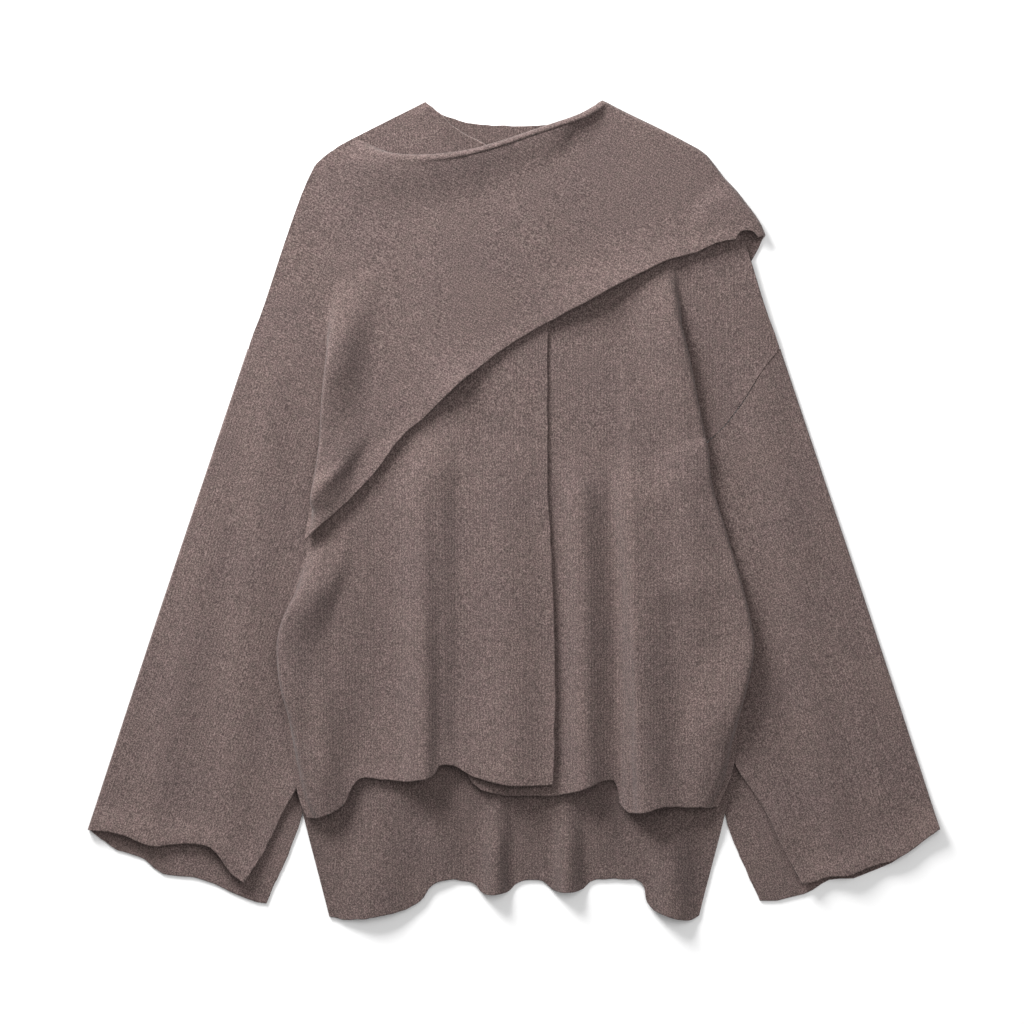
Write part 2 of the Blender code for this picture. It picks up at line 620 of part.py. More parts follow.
def tip_height(x, y):
    """Mid height of the scarf's open loop at the left shoulder, even round its raw end."""
    x0, y0, flat, fade, top = TIP_LOOP
    return top * (1 - ease((np.hypot(x - x0, y - y0) - flat) / fade))


def between(stations, counts):
    """Fractions that hit every station, with this many even steps between one and the next."""
    steps = [np.linspace(a, b, n + 1)[:-1] for a, b, n in zip(stations[:-1], stations[1:], counts)]
    return np.concatenate(steps + [[stations[-1]]])


def matched(one, other):
    """A boundary line evened so that its stations fall at the other line's fractions."""
    return lambda v: one(np.interp(v, other.stations, one.stations))


def higher(*heights):
    return lambda x, y: np.maximum.reduce([h(x, y) for h in heights])


def raised(height, table):
    return lambda x, y: height(x, y) + folds(x, y, table)


def build_jacket(detail=1):
    """The six sheets, from the floor up, each laid on those before it."""

    def n(count):
        return max(1, int(round(count * detail)))

    sheets = {}
    sleeves = []
    for side, name in ((-1, "sleeve_right"), (1, "sleeve_left")):
        rows = between(np.array([0, 0.2, 0.85, 1]), [n(3), n(6), n(3)])
        mid = sleeve(side, rows, [n(1)] * 7, [n(1), n(2), n(1), n(2), n(2), n(2), n(2)], 3)
        sheets[name] = mid
        sleeves.append(mid)

    def over_sleeves(below, cloth=None):
        """The cloth laid so far, with the sleeves where they lie below this y."""
        height_map = cloth.copy() if cloth else HeightMap()
        for laid in sleeves:
            height_map.lay(laid, lambda x, y: y < below)
        return height_map

    bare = HeightMap()
    scarf_top = line(inset(SCARF_SHOULDER, ROLL_INSET, 1), inset(SCARF_NECK, ROLL_INSET, 1))
    bare.add(tail_surface(scarf_top, np.linspace(0.0, TAIL_END + 0.03, 14)))

    seam_left = inset(ARMHOLE, SEAM, -1)
    seam_left[0] = SHOULDER_LEFT[-1]
    seam_right = inset(mirrored(ARMHOLE), SEAM, 1)
    seam_right[0] = SHOULDER_RIGHT[-1]
    outer = line(SHOULDER_LEFT, seam_left, SIDE_BACK_LEFT)
    inner = matched(line(SHOULDER_RIGHT, seam_right, SIDE_BACK_RIGHT), outer)
    plan = plan_of(inner, outer, line(NECK_BACK), line(HEM_BACK))
    rows = between(outer.stations, [n(5)] + [n(1)] * (len(outer.stations) - 3) + [n(10)])
    xy = plan(np.linspace(0, 1, n(40) + 1)[None, :], rows[:, None])
    lie = higher(over_sleeves(WEDGE_TOP_BACK).drape(), bare.drape(TAIL_SPREAD, TAIL_SOFTEN))
    mid = np.dstack([xy, raised(lie, FOLDS_BACK)(xy[..., 0], xy[..., 1])])
    over_sleeves(WEDGE_TOP_BACK, bare).settle(mid)
    sheets["back"] = mid
    bare.lay(mid)

    full = over_sleeves(REACH_Y, bare).drape(WIDE_SPREAD, WIDE_SOFTEN)
    under = over_sleeves(WEDGE_TOP_FRONT_LEFT, bare).drape()
    seam = Straight(seam_left[:SEAM_IN_VIEW - 1] + [SIDE_FRONT_LEFT[0]])
    outer = line(SHOULDER_LEFT, seam, SIDE_FRONT_LEFT)
    plan = plan_of(line(FRONT_LEFT_EDGE), outer, line(NECK_LEFT_FRONT), line(HEM_FRONT_LEFT))
    rows = between(outer.stations, [n(6), n(1), n(1), n(1), n(1), n(11)])
    mid = body_panel(plan, rows, GUIDES_FRONT_LEFT, [n(8), n(1), n(9)], raised(full, FOLDS_FRONT_LEFT),
                     higher(sleeve_form(1), under), TUCK_FRONT_LEFT, FOLD_LINE_FRONT_LEFT, 1,
                     over_sleeves(WEDGE_TOP_TUCKS, bare))
    sheets["front_left"] = mid
    bare.lay(mid)

    full = over_sleeves(WEDGE_TOP_FRONT_RIGHT, bare).drape(WIDE_SPREAD, WIDE_SOFTEN)
    under = over_sleeves(WEDGE_TOP_FRONT_RIGHT, bare).drape()
    seam = Straight(seam_right[:SEAM_IN_VIEW - 1] + [SIDE_FRONT_RIGHT[0]])
    outer = line(SHOULDER_RIGHT, seam, SIDE_FRONT_RIGHT)
    plan = plan_of(line(FRONT_RIGHT_EDGE), outer, line(NECK_RIGHT_FRONT), line(HEM_FRONT_RIGHT))
    rows = between(outer.stations, [n(5), n(1), n(1), n(1), n(1), n(11)])
    mid = body_panel(plan, rows, GUIDES_FRONT_RIGHT, [n(9), n(1), n(10)], raised(full, FOLDS_FRONT_RIGHT), under,
                     TUCK_FRONT_RIGHT, None, -1, over_sleeves(WEDGE_TOP_TUCKS, bare), 1)
    sheets["front_right"] = mid
    bare.lay(mid)

    full = over_sleeves(REACH_Y, bare).drape(WIDE_SPREAD, WIDE_SOFTEN)
    under = over_sleeves(WEDGE_TOP_SCARF, bare).drape()
    seam = Straight(seam_right[:SEAM_IN_VIEW - 1] + [SCARF_CREASE[0]])
    outer = line([tuple(scarf_top(1.0))] + SCARF_RIGHT[1:], seam, SCARF_CREASE)
    tip = line([tuple(scarf_top(0.0))] + SCARF_TIP)
    plan = plan_of(tip, outer, scarf_top, line(SCARF_HEM))
    rows = between(outer.stations, [n(6), n(1), n(1), n(1), n(1), n(4)])
    over = higher(full, lambda x, y: full(x, y) + scarf_lift(x, y), tip_height)
    mid = body_panel(plan, rows, [], [n(24)], over, higher(sleeve_form(-1), under), TUCK_SCARF,
                     FOLD_LINE_SCARF, -1, over_sleeves(WEDGE_TOP_TUCKS, bare))
    sheets["scarf"] = with_roll(mid, scarf_top, mid_places(scarf_top, mid[0]))
    return sheets


def mid_places(top_line, row):
    """How far along the top line each point of the sheet's first row lies, as a fraction."""
    f = np.linspace(0, 1, 600)
    pts = top_line(f)
    return [float(f[np.argmin(((pts - p[:2]) ** 2).sum(axis=1))]) for p in row]


for item in list(bpy.data.objects):
    bpy.data.objects.remove(item, do_unlink=True)

pieces = [make_sheet(piece_name, grid) for piece_name, grid in build_jacket().items()]

# The origin is under the middle of the outline.
bpy.context.view_layer.update()
graph = bpy.context.evaluated_depsgraph_get()
corners = np.array([corner for piece in pieces for corner in piece.evaluated_get(graph).bound_box])
middle = (corners.min(axis=0) + corners.max(axis=0)) / 2
for piece in pieces:
    piece.location = (-middle[0], -middle[1], 0.0)
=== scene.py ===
"""The knit jacket laid flat, dressed over its solids: fine cloth sheets, felted knit, soft light.

The shape tables and functions are the source's own, run at a finer grid. Sizes in the tables are
millimetres; the scene is in metres.
"""
import math

import bpy
import numpy as np
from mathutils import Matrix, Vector, noise


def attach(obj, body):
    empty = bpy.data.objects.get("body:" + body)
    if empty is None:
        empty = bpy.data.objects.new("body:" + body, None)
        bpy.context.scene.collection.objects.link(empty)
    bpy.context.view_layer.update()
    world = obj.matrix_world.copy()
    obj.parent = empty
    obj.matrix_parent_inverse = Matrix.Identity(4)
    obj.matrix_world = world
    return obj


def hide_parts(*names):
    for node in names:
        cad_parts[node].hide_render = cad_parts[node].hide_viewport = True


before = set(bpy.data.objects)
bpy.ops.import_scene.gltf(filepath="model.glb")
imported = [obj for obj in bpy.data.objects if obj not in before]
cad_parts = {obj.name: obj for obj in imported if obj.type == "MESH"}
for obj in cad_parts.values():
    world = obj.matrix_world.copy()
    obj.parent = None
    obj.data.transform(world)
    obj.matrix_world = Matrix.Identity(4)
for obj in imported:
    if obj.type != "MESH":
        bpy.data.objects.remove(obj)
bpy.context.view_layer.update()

MM = 0.001

# Cloth.
WALL = 2.0
GAP = 0.5
PITCH = WALL + GAP
FLOOR_LAYER = WALL / 2
SEAM = 0.5
CLEAR = 0.4
STEEPEST = 0.45

# Square grid that the laid cloth is measured on, and how far upper cloth spans what it covers, in its cells.
CELL = 2.0
REACH_X = 420.0
REACH_Y = 400.0
SPREAD = 6
SOFTEN = 3
TAIL_SPREAD = 12
TAIL_SOFTEN = 8
WIDE_SPREAD = 10
WIDE_SOFTEN = 9


class Straight(list):
    """Points joined by straight lines, so that pieces on both sides of a seam share them."""


# Sleeve outlines for the side at +X, the wearer's left; the other side is mirrored. Columns: x, y.
ARMHOLE = Straight([(244, 148), (230, 131), (213, 102), (195, 78), (178, 62), (170, 37), (168, -5),
                    (171, -46)])
SEAM_IN_VIEW = 5
SLEEVE_INNER_BACK = {
    1: [(171, -46), (174, -120), (182, -185), (194, -279), (225, -359)],
    -1: [(171, -46), (174, -120), (182, -185), (194, -279), (228, -362)],
}
SLEEVE_INNER_TOP = {
    1: [(171, -46), (176, -120), (187, -195), (203, -235), (223, -262), (244, -303), (265, -343)],
    -1: [(171, -46), (176, -120), (187, -200), (202, -261), (208, -270), (227, -308), (248, -343)],
}
SLEEVE_OUTER = [(244, 148), (334, -120), (391, -294)]
CUFF_BACK = {
    1: [(225, -359), (244, -359), (276, -349), (290, -340), (311, -338), (351, -322), (390, -299)],
    -1: [(228, -362), (248, -357), (287, -339), (325, -334), (340, -321), (365, -313), (387, -299)],
}
CUFF_TOP = {
    1: [(265, -343), (280, -341), (290, -337), (305, -336), (328, -328), (351, -321), (373, -307),
        (392, -295)],
    -1: [(248, -343), (261, -333), (279, -310), (304, -307), (335, -309), (356, -300), (377, -295),
         (392, -294)],
}

# Body outlines, with their own sign of x. Columns: x, y.
NECK_BACK = [(-82, 375), (-67, 364), (-51, 359), (-35, 355), (-18, 353), (23, 354), (42, 354), (60, 358),
             (75, 365)]
SHOULDER_LEFT = [(75, 365), (94, 357), (130, 339), (152, 327), (168, 318), (176, 308), (197, 282),
                 (210, 256), (214, 243), (218, 229), (242.3, 149)]
SHOULDER_RIGHT = [(-82, 375), (-124, 354), (-153, 339), (-174, 327), (-185, 314), (-192, 299),
                  (-209, 252), (-225, 203), (-242.3, 149)]
NECK_RIGHT_FRONT = [(31, 290), (6, 315), (-24, 334), (-44, 345), (-59, 355), (-71, 367), (-82, 375)]
NECK_LEFT_FRONT = [(-44, 290), (-20, 312), (20, 335), (52, 350), (75, 365)]
FRONT_RIGHT_EDGE = [(31, 290), (31, 101), (31, 28), (36, -86), (38, -180), (36, -252)]
FRONT_LEFT_EDGE = [(-44, 290), (-45, 100), (-45, -100), (-44, -240)]
HEM_FRONT_RIGHT = [(36, -252), (12, -253), (-14, -251), (-31, -247), (-40, -243), (-52, -236), (-64, -234),
                   (-71, -236), (-75, -245), (-88, -248), (-106, -249), (-123, -247), (-141, -247),
                   (-151, -259), (-156, -269), (-173, -280), (-190, -283)]
HEM_FRONT_LEFT = [(-44, -240), (-35, -255), (-24, -259), (-7, -262), (36, -262), (64, -257), (85, -248),
                  (94, -250), (97, -268), (105, -277), (116, -278), (137, -273), (168, -273), (187, -273)]
HEM_BACK = [(-170, -373), (-155, -377), (-120, -373), (-88, -361), (-75, -345), (-60, -340), (-37, -343),
            (-27, -353), (-7, -352), (4, -343), (25, -341), (38, -350), (61, -350), (72, -341), (99, -339),
            (118, -343), (123, -362), (141, -374), (160, -377), (170, -373)]
SIDE_BACK_LEFT = [(172, -68), (188, -88), (205, -118), (212, -160), (210, -193), (203, -232),
                  (194, -279), (170, -373)]
SIDE_BACK_RIGHT = [(-172, -68), (-188, -88), (-204, -118), (-209, -165), (-206, -210), (-200, -250),
                   (-194, -279), (-170, -373)]
SIDE_FRONT_LEFT = [(178, 62), (180, 28), (193, -17), (213, -86), (219, -117), (220, -126), (217, -145),
                   (213, -164), (211, -188), (205, -215), (199, -246), (187, -273)]
SIDE_FRONT_RIGHT = [(-173, 62), (-167, 37), (-165, 12), (-176, -10), (-189, -26), (-198, -48), (-211, -98),
                    (-216, -115), (-217, -129), (-214, -164), (-210, -199), (-204, -235), (-197, -267),
                    (-190, -283)]

# The scarf, from its tip over the left shoulder round to the right armhole. Columns: x, y.
SCARF_SHOULDER = [(228, 252), (224, 262), (205, 288), (184, 316), (175, 327), (158, 337), (135, 349),
                  (98, 367), (83, 375)]
SCARF_NECK = [(83, 375), (64, 364), (41, 356), (17, 348), (-6, 340), (-29, 333), (-53, 328), (-88, 325),
              (-123, 328), (-150, 338)]
SCARF_RIGHT = [(-150, 338), (-174, 327), (-185, 314), (-192, 299), (-209, 252), (-225, 203), (-242.3, 149)]
SCARF_CREASE = [(-178, 62), (-182, 35), (-187, 7), (-192, -28)]
SCARF_TIP = [(218, 256.5), (209, 256), (204, 249)]
SCARF_HEM = [(204, 249), (190, 246.5), (166, 236), (139, 229), (98, 208), (76, 196), (36, 175), (8, 160),
             (-20, 140), (-53, 114), (-79, 88), (-102, 69), (-129, 33), (-150, 11), (-174, -11), (-192, -28)]

# Standing folds. Each runs from its start, where it has no height, to its end.
# Columns: start x, start y, end x, end y, width toward -x, width toward +x, height at the end.
FOLDS_BACK = [
    (-118, -170, -126, -360, 44, 44, 9), (-14, -170, -17, -352, 15, 17, 9),
    (44, -170, 50, -352, 16, 19, 9), (140, -190, 146, -374, 24, 26, 9),
]
FOLDS_FRONT_RIGHT = [
    (-84, 150, -81, -247, 30, 12, 11), (-4, 60, 2, -252, 42, 34, 6), (-172, -60, -172, -280, 22, 34, 8),
]
FOLDS_FRONT_LEFT = [
    (100, 230, 117, -276, 9, 46, 13), (56, 120, 62, -258, 22, 20, 5), (160, 160, 168, -120, 30, 30, 4),
]
FOLDS_SLEEVE = {
    1: [(206, 230, 300, -330, 26, 30, 3.2), (245, 60, 352, -310, 30, 26, 1.8)],
    -1: [(-205, 230, -270, -330, 30, 30, 2.6), (-262, 60, -340, -310, 26, 30, 2.2)],
}
SLEEVE_FOLD_RISE = 120.0

# Lines that the grid follows along the fronts' sharpest folds. Columns: x, y.
# The limits are the furthest out that they go, as a share of the row.
GUIDES_FRONT_LEFT = [[(91, 400), (108, -400)], [(100, 400), (117, -400)]]
GUIDES_FRONT_RIGHT = [[(-70, 400), (-69, -400)], [(-84, 400), (-81, -400)]]
GUIDE_LIMITS = (0.74, 0.8)

# Places where the scarf's raw edge stands clear. Columns: x, y, width in x, width in y, height.
LIFTS_SCARF = [(-50, 112, 26, 26, 8.0), (72, 194, 32, 26, 8.0)]
# The scarf's open loop: x, y, radius where it is even, fade round that, mid height.
TIP_LOOP = (206, 254, 32, 44, 12.5)

# Side tucks, by height up the jacket.
# Columns: y, turn of the fold in degrees, flat length tucked under, end of the cloth beyond the fold.
TUCK_FRONT_LEFT = [
    (240, 0, 0, 999), (222, 25, 1, 999), (195, 70, 2, 999), (165, 110, 3, 999), (130, 150, 4, 999),
    (96, 172, 7, 999), (68, 180, 9, 999), (62, 180, 9, 0), (52, 180, 13, -8), (37, 180, 19, -14),
    (-5, 180, 29, -26), (-46, 180, 38, -35), (-62, 180, 40, -37), (-86, 180, 21, -18), (-126, 175, 8, -4),
    (-164, 140, 3, 0), (-190, 100, 2, 0), (-215, 70, 1, 0), (-280, 40, 1, 0),
]
TUCK_FRONT_RIGHT = [
    (0, 0, 0, 999), (-20, 15, 1, 0), (-45, 40, 1, 0), (-70, 80, 2, 0), (-98, 140, 5, -2), (-129, 165, 6, -3),
    (-164, 140, 3, 0), (-199, 90, 1, 0), (-290, 40, 1, 0),
]
TUCK_SCARF = [
    (210, 0, 0, 999), (184, 35, 1, 999), (160, 75, 2, 999), (135, 120, 3, 999), (102, 165, 5, 999),
    (80, 178, 7, 999), (68, 180, 8, 999), (62, 180, 8, -2), (45, 180, 16, -13), (30, 180, 21, -18),
    (12, 150, 8, -5), (0, 100, 2, 0), (-15, 50, 1, 0), (-28, 30, 1, 0),
]
FOLD_LINE_FRONT_LEFT = [(145, 228), (149, 201), (153, 170), (160, 143), (169, 96), (176, 62), (190, 40),
                        (240, 0)]
FOLD_LINE_SCARF = [(-155, 250), (-161, 215), (-167, 184), (-172, 140), (-176, 102), (-178, 62), (-190, 40),
                   (-240, 0)]
FOLD_RADIUS = 3.2
HIDDEN_RADIUS = 1.5
FOLD_SPREAD = 45.0
FLAT_TURN = 5.0
LIP = 3.0

# Roll along the scarf's neck and shoulder edge, by place, a fraction of that edge from the tip.
# Columns: place, radius, turn in degrees, flat length under it, slant in degrees of the part underneath,
# share of the roll that stands above the cloth it lies on.
ROLL_SCARF = [
    (0.00, 3.7, 180, 44, 32, 0), (0.06, 3.7, 180, 46, 18, 0), (0.14, 3.7, 180, 50, 6, 0),
    (0.32, 3.7, 180, 50, 0, 0), (0.37, 3.7, 180, 40, 0, 0), (0.405, 3.7, 180, 4, 0, 0),
    (0.425, 3.6, 175, 4, 0, 0), (0.45, 3.2, 120, 4, 0, 0.3), (0.49, 3.0, 125, 4, 0, 0.75),
    (0.54, 3.2, 160, 5, 0, 1), (0.75, 3.4, 165, 7, 0, 1), (0.88, 2.8, 120, 4, 0, 1),
    (0.96, 1.8, 50, 4, 0, 1), (1.00, 1.2, 20, 4, 0, 1),
]
TAIL_END = 0.437
TAIL_EVEN = 0.08
TAIL_MARGIN = 5.0
ROLL_INSET = 3.6
ROLL_FADE = 60.0
SCARF_STEP_FADE = 42.0

# Below this y the sleeves lie under the back, the left front, the right front and the scarf.
WEDGE_TOP_BACK = -62.0
WEDGE_TOP_FRONT_LEFT = -58.0
WEDGE_TOP_FRONT_RIGHT = 6.0
WEDGE_TOP_SCARF = 12.0
WEDGE_TOP_TUCKS = 58.0


def smooth_line(points, step=2.0):
    """Points every step along a smooth curve through the given points."""
    pts = np.array(points, float)
    ends = np.vstack([2 * pts[0] - pts[1], pts, 2 * pts[-1] - pts[-2]])
    out = [pts[0]]
    for four in zip(ends[:-3], ends[1:-2], ends[2:-1], ends[3:]):
        knots = np.cumsum([0.0] + [max(np.linalg.norm(q - p), 1e-6) ** 0.5 for p, q in zip(four, four[1:])])
        count = max(2, int(np.linalg.norm(four[2] - four[1]) / step) + 1)
        for t in np.linspace(knots[1], knots[2], count + 1)[1:]:
            level = list(four)
            for reach, first in ((1, (0, 1, 2)), (2, (0, 1))):
                level = [blend(level[k], level[k + 1], knots[k], knots[k + reach], t) for k in first]
            out.append(blend(level[0], level[1], knots[1], knots[2], t))
    return np.array(out)


def blend(p, q, start, end, t):
    """The point between p at start and q at end that belongs to t."""
    return ((end - t) * p + (t - start) * q) / (end - start)


def line(*stretches):
    """A boundary line of stretches that meet at corners, as a function of its fraction.

    Its stations are the fractions of the corners and of every point of a straight stretch.
    """
    parts = [np.array(s, float) if isinstance(s, Straight) else smooth_line(s) for s in stretches]
    dense = np.vstack(parts)
    run = np.r_[0.0, np.cumsum(np.linalg.norm(np.diff(dense, axis=0), axis=1))]
    marked, count = [], 0
    for part, stretch in zip(parts, stretches):
        last = count + len(part) - 1
        marked += range(count, last + 1) if isinstance(stretch, Straight) else [count, last]
        count = last + 1

    def at(fraction):
        place = np.asarray(fraction) * run[-1]
        return np.stack([np.interp(place, run, dense[:, 0]), np.interp(place, run, dense[:, 1])], axis=-1)

    at.stations = np.unique(np.round(run[marked] / run[-1], 9))
    return at


def inset(points, distance, side):
    """A line moved sideways in plan; side is +1 for the left of its direction, -1 for the right."""
    straight = isinstance(points, Straight)
    pts = np.array(points, float) if straight else smooth_line(points, 8.0)
    along = np.gradient(pts, axis=0)
    along /= np.linalg.norm(along, axis=1)[:, None]
    moved = [tuple(p) for p in pts + side * distance * np.stack([-along[:, 1], along[:, 0]], axis=1)]
    return Straight(moved) if straight else moved


def mirrored(points):
    return type(points)((-x, y) for x, y in points)


def plan_of(inner, outer, top, bottom):
    """Fills the plan between four boundary lines; f runs from inner to outer, v from top to bottom."""
    corner = {(a, b): (inner, outer)[a](float(b)) for a in (0, 1) for b in (0, 1)}

    def plan(f, v):
        f, v = np.broadcast_arrays(np.asarray(f, float), np.asarray(v, float))
        g, w = f[..., None], v[..., None]
        sides = (1 - w) * top(f) + w * bottom(f) + (1 - g) * inner(v) + g * outer(v)
        corners = ((1 - g) * (1 - w) * corner[0, 0] + g * (1 - w) * corner[1, 0]
                   + (1 - g) * w * corner[0, 1] + g * w * corner[1, 1])
        return sides - corners

    return plan


def ease(t):
    t = np.clip(t, 0.0, 1.0)
    return t * t * (3 - 2 * t)


def folds(x, y, table, rise=None):
    """Height of the standing folds at x, y."""
    height = np.zeros(np.broadcast(x, y).shape)
    for x0, y0, x1, y1, left, right, top in table:
        along = (y0 - y) / (y0 - y1)
        off = x - (x0 + (x1 - x0) * along)
        width = np.where(off < 0, left, right)
        bump = 0.5 + 0.5 * np.cos(np.pi * np.clip(off / width, -1, 1))
        grown = ease(along * (y0 - y1) / rise) if rise else ease(along)
        height = height + top * bump * grown
    return height


FACET_CORNERS = (np.s_[:-1, :-1], np.s_[:-1, 1:], np.s_[1:, :-1], np.s_[1:, 1:])


class HeightMap:
    """Highest point of the cloth laid so far, on a square grid over the floor."""

    def __init__(self):
        self.top = np.zeros((int(2 * REACH_Y / CELL) + 1, int(2 * REACH_X / CELL) + 1))

    def copy(self):
        other = HeightMap()
        other.top = self.top.copy()
        return other

    def lay(self, mid, keep=None):
        """Adds a sheet, both faces of its wall, where keep(x, y) allows."""
        for offset in (-WALL / 2, WALL / 2):
            self.add(surface_of(mid, offset), keep)

    def add(self, surface, keep=None):
        for axis in (0, 1):
            spacing = np.linalg.norm(np.diff(surface, axis=axis), axis=-1).max(axis=1 - axis)
            pieces = []
            for i, gap in enumerate(spacing):
                count = max(1, int(gap / (0.7 * CELL)) + 1)
                a, b = np.take(surface, i, axis), np.take(surface, i + 1, axis)
                pieces += [a + (b - a) * k / count for k in range(count)]
            pieces.append(np.take(surface, surface.shape[axis] - 1, axis))
            surface = np.stack(pieces, axis=axis)
        x, y, z = surface[..., 0].ravel(), surface[..., 1].ravel(), surface[..., 2].ravel()
        if keep is not None:
            chosen = keep(x, y)
            x, y, z = x[chosen], y[chosen], z[chosen]
        row = np.rint((y + REACH_Y) / CELL).astype(int)
        col = np.rint((x + REACH_X) / CELL).astype(int)
        np.maximum.at(self.top, (row, col), z)

    def over(self, x, y):
        """Highest cloth in the four cells round x, y."""
        c = np.floor((x + REACH_X) / CELL).astype(int)
        r = np.floor((y + REACH_Y) / CELL).astype(int)
        return np.maximum.reduce([self.top[r + k, c + m] for k in (0, 1) for m in (0, 1)])

    def short(self, grid, samples=11):
        """How far each facet of a grid has to rise to clear this cloth, with its worst place in it."""
        a, b, c, d = grid[:-1, :-1], grid[:-1, 1:], grid[1:, :-1], grid[1:, 1:]
        normal = np.cross(d - a, b - c)
        tilt = np.abs(normal[..., 2]) / np.maximum(np.linalg.norm(normal, axis=-1), 1e-9)
        half = WALL / 2 / np.maximum(tilt, STEEPEST)
        for u in np.linspace(0, 1, samples):
            for w in np.linspace(0, 1, samples):
                share = ((1 - u) * (1 - w), (1 - u) * w, u * (1 - w), u * w)
                p = share[0] * a + share[1] * b + share[2] * c + share[3] * d
                one = a + u * (c - a) + w * (d - c) if u > w else a + w * (b - a) + u * (d - b)
                two = (a + u * (c - a) + w * (b - a) if u + w < 1
                       else d + (1 - u) * (b - d) + (1 - w) * (c - d))
                top = self.over(p[..., 0], p[..., 1])
                need = top + half + CLEAR * np.clip(top, 0, 1)
                yield share, np.maximum(need - np.minimum(one[..., 2], two[..., 2]), 0)

    def settle(self, grid, passes=14):
        """Raises the corners of every facet that would touch this cloth."""
        for _ in range(passes):
            lift = np.zeros(grid.shape[:2])
            for share, short in self.short(grid):
                for weight, corner in zip(share, FACET_CORNERS):
                    lift[corner] = np.maximum(lift[corner], weight * short)
            grid[..., 2] += lift

    def drape(self, spread=SPREAD, soften=SOFTEN):
        """Mid height of a sheet laid on top: spread, softened and clear of what it covers."""
        wide = self.top
        for axis in (0, 1):
            wide = np.max([np.roll(wide, k, axis) for k in range(-spread, spread + 1)], axis=0)
        for axis in (0, 1):
            wide = np.mean([np.roll(wide, k, axis) for k in range(-soften, soften + 1)], axis=0)
        lifted = wide + GAP * np.clip(wide / WALL, 0, 1) + WALL / 2

        def at(x, y):
            col, row = (x + REACH_X) / CELL, (y + REACH_Y) / CELL
            c, r = np.floor(col).astype(int), np.floor(row).astype(int)
            u, w = col - c, row - r
            low = lifted[r, c] * (1 - u) + lifted[r, c + 1] * u
            high = lifted[r + 1, c] * (1 - u) + lifted[r + 1, c + 1] * u
            return low * (1 - w) + high * w

        return at


def surface_of(mid, offset):
    """A sheet's grid of points moved along its normals."""
    across = np.gradient(mid, axis=0)
    along = np.gradient(mid, axis=1)
    normal = np.cross(across, along)
    normal /= np.maximum(np.linalg.norm(normal, axis=-1), 1e-9)[..., None]
    middle = normal[normal.shape[0] // 2, normal.shape[1] // 2, 2]
    return mid + normal * offset * (1 if middle > 0 else -1)


def table_at(table, key, column):
    rows = sorted(table, key=lambda row: row[0])
    return float(np.interp(key, [row[0] for row in rows], [row[column] for row in rows]))


def crossing(plan, v, fold_line, outward):
    """Fraction along row v where it meets the fold line, or 1 if it stays inside."""
    f = np.linspace(0, 1, 500)
    pts = plan(f, v)
    rows = sorted(fold_line, key=lambda p: p[1])
    over = outward * (pts[:, 0] - np.interp(pts[:, 1], [p[1] for p in rows], [p[0] for p in rows]))
    hit = np.where(over > 0)[0]
    if len(hit) == 0 or hit[0] == 0:
        return 1.0
    i = hit[0]
    return f[i - 1] + (f[i] - f[i - 1]) * over[i - 1] / (over[i - 1] - over[i])


def fold_profile(turn, tuck, beyond, ends, at_edge, bends=5, hidden_bends=3):
    """Section of a side fold: out, down round the fold, back under, round the hidden fold, out again.

    Gives distances outward and heights from the fold's start, and the outward reach of the fold.
    """
    angle = math.radians(turn)
    steps = []
    for k in range(bends):
        steps.append((math.pi * FOLD_RADIUS / bends, -angle * (k + 0.5) / bends))
    steps.append((tuck + 0.4, -angle))
    for k in range(hidden_bends):
        steps.append((math.pi * HIDDEN_RADIUS / hidden_bends, -angle * (1 - (k + 0.5) / hidden_bends)))
    out, up = [0.0], [0.0]
    for length, heading in steps:
        out.append(out[-1] + length * math.cos(heading))
        up.append(up[-1] + length * math.sin(heading))
    reach = max(out[:bends + 1]) if turn >= 90 else out[bends]
    last = beyond(out[-1] - reach)
    for k in range(ends):
        out.append(out[-1] + last / ends)
        up.append(up[-1])
    if at_edge:
        reach = max(out)
    return np.array(out), np.array(up) - up[-1], reach


def body_panel(plan, rows, guides, counts, top_z, base_z, tuck_table, fold_line, outward, cloth, ends=4):
    """Grid of a front or the scarf: a draped inner part, then its side fold, clear of the cloth below.

    The counts give the columns before, between and after the guide lines, up to the side fold.
    """
    count = sum(counts)
    raised_by = np.zeros(len(rows))
    for _ in range(4):
        grid = np.array([panel_row(plan, v, guides, counts, top_z, base_z, tuck_table, fold_line, outward,
                                   ends, rise) for v, rise in zip(rows, raised_by)])
        worst = np.max([short.max(axis=1) for _, short in cloth.short(grid[:, count:])], axis=0)
        raised_by += np.maximum(np.r_[worst, 0], np.r_[0, worst])
    inner = grid[:, :count + 1]
    cloth.settle(inner)
    return grid


